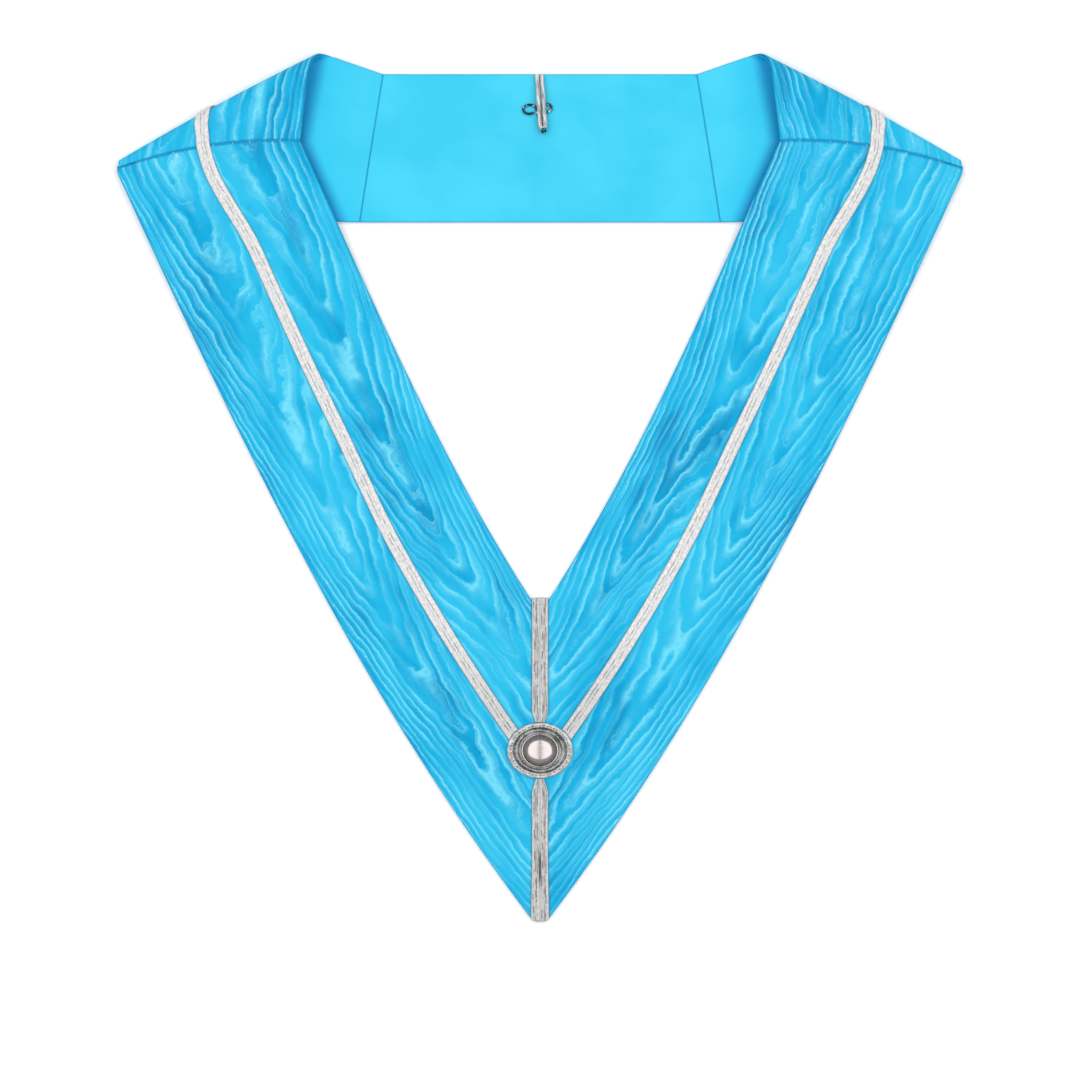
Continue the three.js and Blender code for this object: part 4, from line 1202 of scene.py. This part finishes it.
# Back hook
# One dark nickel wire: an eyelet, a shank down the lining, a curl round the loop's end, and back
# beside itself to the other eyelet.
HOOK_OFFSET = -1.6
EYELET_LENGTH = 9.6
EYELET_OPENING = {-1: 0.8, 1: 1.35}
EYELET_LEAN = math.radians(4)
SHANK_SPACING = WIRE_DIAMETER + TRIM_GAP
BILL_TURN = math.radians(145)
hook_centre = np.array([HOOK_OFFSET, BAND_TOP - HOOK_DROP])
bill_centre = np.array([LOOP_TOP_OFFSET + LOOP_LEAN, loop_end + CORD_DIAMETER / 2])
shank_length = np.linalg.norm(hook_centre - bill_centre)
hook_lean = math.atan2(bill_centre[0] - hook_centre[0], hook_centre[1] - bill_centre[1])
bill_radius = (CORD_DIAMETER + WIRE_DIAMETER) / 2 + TRIM_GAP
eyelet_x = (EYELET_LENGTH - WIRE_DIAMETER) / 2
eyelet_y = (EYELET_WIDTH - WIRE_DIAMETER) / 2


def hook_point(x, y, rise, lean=hook_lean):
    """A point of the upright hook, leant over and set on the lining."""
    x, y, rise = np.broadcast_arrays(np.asarray(x, float), y, rise)
    plan_x = hook_centre[0] + x * math.cos(lean) - y * math.sin(lean)
    plan_y = hook_centre[1] + x * math.sin(lean) + y * math.cos(lean)
    return xyz(plan_x, plan_y, lining_top(plan_y) + TRIM_GAP + WIRE_DIAMETER / 2 + rise)


def bill_point(x, angle):
    """The curl: a round of bill_radius from the shank's foot up over the loop's end."""
    return hook_point(x, -shank_length - bill_radius * np.sin(angle), bill_radius * (1 - np.cos(angle)))


def hook_half(side):
    """One side of the wire, from its eyelet's tip to the curl."""
    eyelet_turn = 2 * np.pi - math.acos(1 - EYELET_OPENING[side] * SHANK_SPACING / eyelet_x)
    angle = np.linspace(eyelet_turn, 0, 12)
    x = side * SHANK_SPACING / 2
    eyelet = hook_point(x + side * eyelet_x * (1 - np.cos(angle)), eyelet_y * np.sin(angle), 0 * angle,
                        EYELET_LEAN)
    shank = hook_point(x, np.linspace(0, -shank_length, 4)[1:], 0)
    return np.concatenate([eyelet, shank, bill_point(x, np.linspace(0, BILL_TURN, 6)[1:])])


bill_tip = bill_point(0, np.array([BILL_TURN + SHANK_SPACING / 2 / bill_radius]))
hook_route = np.concatenate([hook_half(-1), bill_tip, hook_half(1)[::-1]])
points, _ = tube(*smooth_route(hook_route, 0.25), WIRE_DIAMETER, 16)
NICKEL_DARK = (0.03, 0.05, 0.08)
NICKEL_GLINT = (0.55, 0.62, 0.66)
nickel, tree, inputs = shader("dark_nickel_metal")
# Painted glints: small bright spots in the wire's colour.
glint_spots = spread(tree, grain(tree, 600.0, 3.0), 0.53, 0.63)
dress(tree, inputs, Base_Color=tint(tree, glint_spots, NICKEL_DARK, NICKEL_GLINT), Metallic=1.0, Roughness=0.14)
hook_piece = make_piece("back_hook_wire", points, grid_quads(*points.shape[:2], wrap=True),
                        [nickel], weld=True)
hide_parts("back_hook")

# Seam stitches
# A blue thread lies in each seam of shoulder and front, and small slip stitches of pale thread go
# across it at uneven places.
STITCH_COUNT = 12
STITCH_FROM = 0.003
STITCH_TO = 2.985
SEAM_STEPS = 120
BALL_ROWS = 7
BALL_SIDES = 8
SEAM_THREAD = 0.6
STITCH_HALF = np.array([0.2, 0.75, 0.2])
STITCH_COLOUR = (0.52, 0.78, 0.88)
THREAD_COLOUR = (0.0, 0.24, 0.46)
thread_paint, tree, inputs = shader("pale_thread")
dress(tree, inputs, Base_Color=STITCH_COLOUR, Roughness=0.5)
stitch_number = np.arange(STITCH_COUNT)
stitch_u = np.linspace(0.06, 0.86, STITCH_COUNT) + 0.026 * np.sin(5.3 * stitch_number ** 1.3)
low_end = front_face(stitch_u, np.full(STITCH_COUNT, STITCH_FROM))
high_end = shoulder_face(stitch_u, np.full(STITCH_COUNT, STITCH_TO))
lean = high_end - low_end
lean /= np.linalg.norm(lean, axis=-1, keepdims=True)
upright = tangents(front_face, stitch_u, np.full(STITCH_COUNT, STITCH_FROM), (0, 1))[2]
beside = np.cross(lean, upright)
ball_angle = np.linspace(0, 2 * np.pi, BALL_SIDES, endpoint=False)
ball_turn = np.linspace(0, np.pi, BALL_ROWS)
ball = xyz(np.sin(ball_turn)[:, None] * np.cos(ball_angle), np.cos(ball_turn)[:, None],
           np.sin(ball_turn)[:, None] * np.sin(ball_angle)) * STITCH_HALF
axes = np.stack([beside, lean, upright], axis=1)
stitch_size = 0.55 + 0.4 * np.sin(2.3 * stitch_number)[:, None, None, None]
stitch_middle = ((low_end + high_end) / 2)[:, None, None]
stitch_points = np.einsum("rck,nkj->nrcj", ball, axes) * stitch_size + stitch_middle
ball_start = BALL_ROWS * BALL_SIDES * stitch_number[:, None, None]
stitch_quads = (grid_quads(BALL_ROWS, BALL_SIDES, wrap=True)[None] + ball_start).reshape(-1, 4)
seam_u = np.linspace(0.005, 0.90, SEAM_STEPS)
seam_line = (front_face(seam_u, 0 * seam_u) + shoulder_face(seam_u, 0 * seam_u + 3)) / 2
seam_line[:, 2] -= SEAM_THREAD / 2
thread_points, _ = tube(*smooth_route(seam_line, 0.8), SEAM_THREAD, 10)
seam_paint, tree, inputs = shader("seam_thread")
dress(tree, inputs, Base_Color=THREAD_COLOUR, Roughness=0.6)
for name, mirrored, shift in SIDES:
    make_piece("seam_thread_" + name, thread_points, grid_quads(*thread_points.shape[:2], wrap=True),
               [seam_paint], mirrored=mirrored, weld=True)
    make_piece("seam_stitches_" + name, stitch_points, stitch_quads, [thread_paint],
               mirrored=mirrored, weld=True)
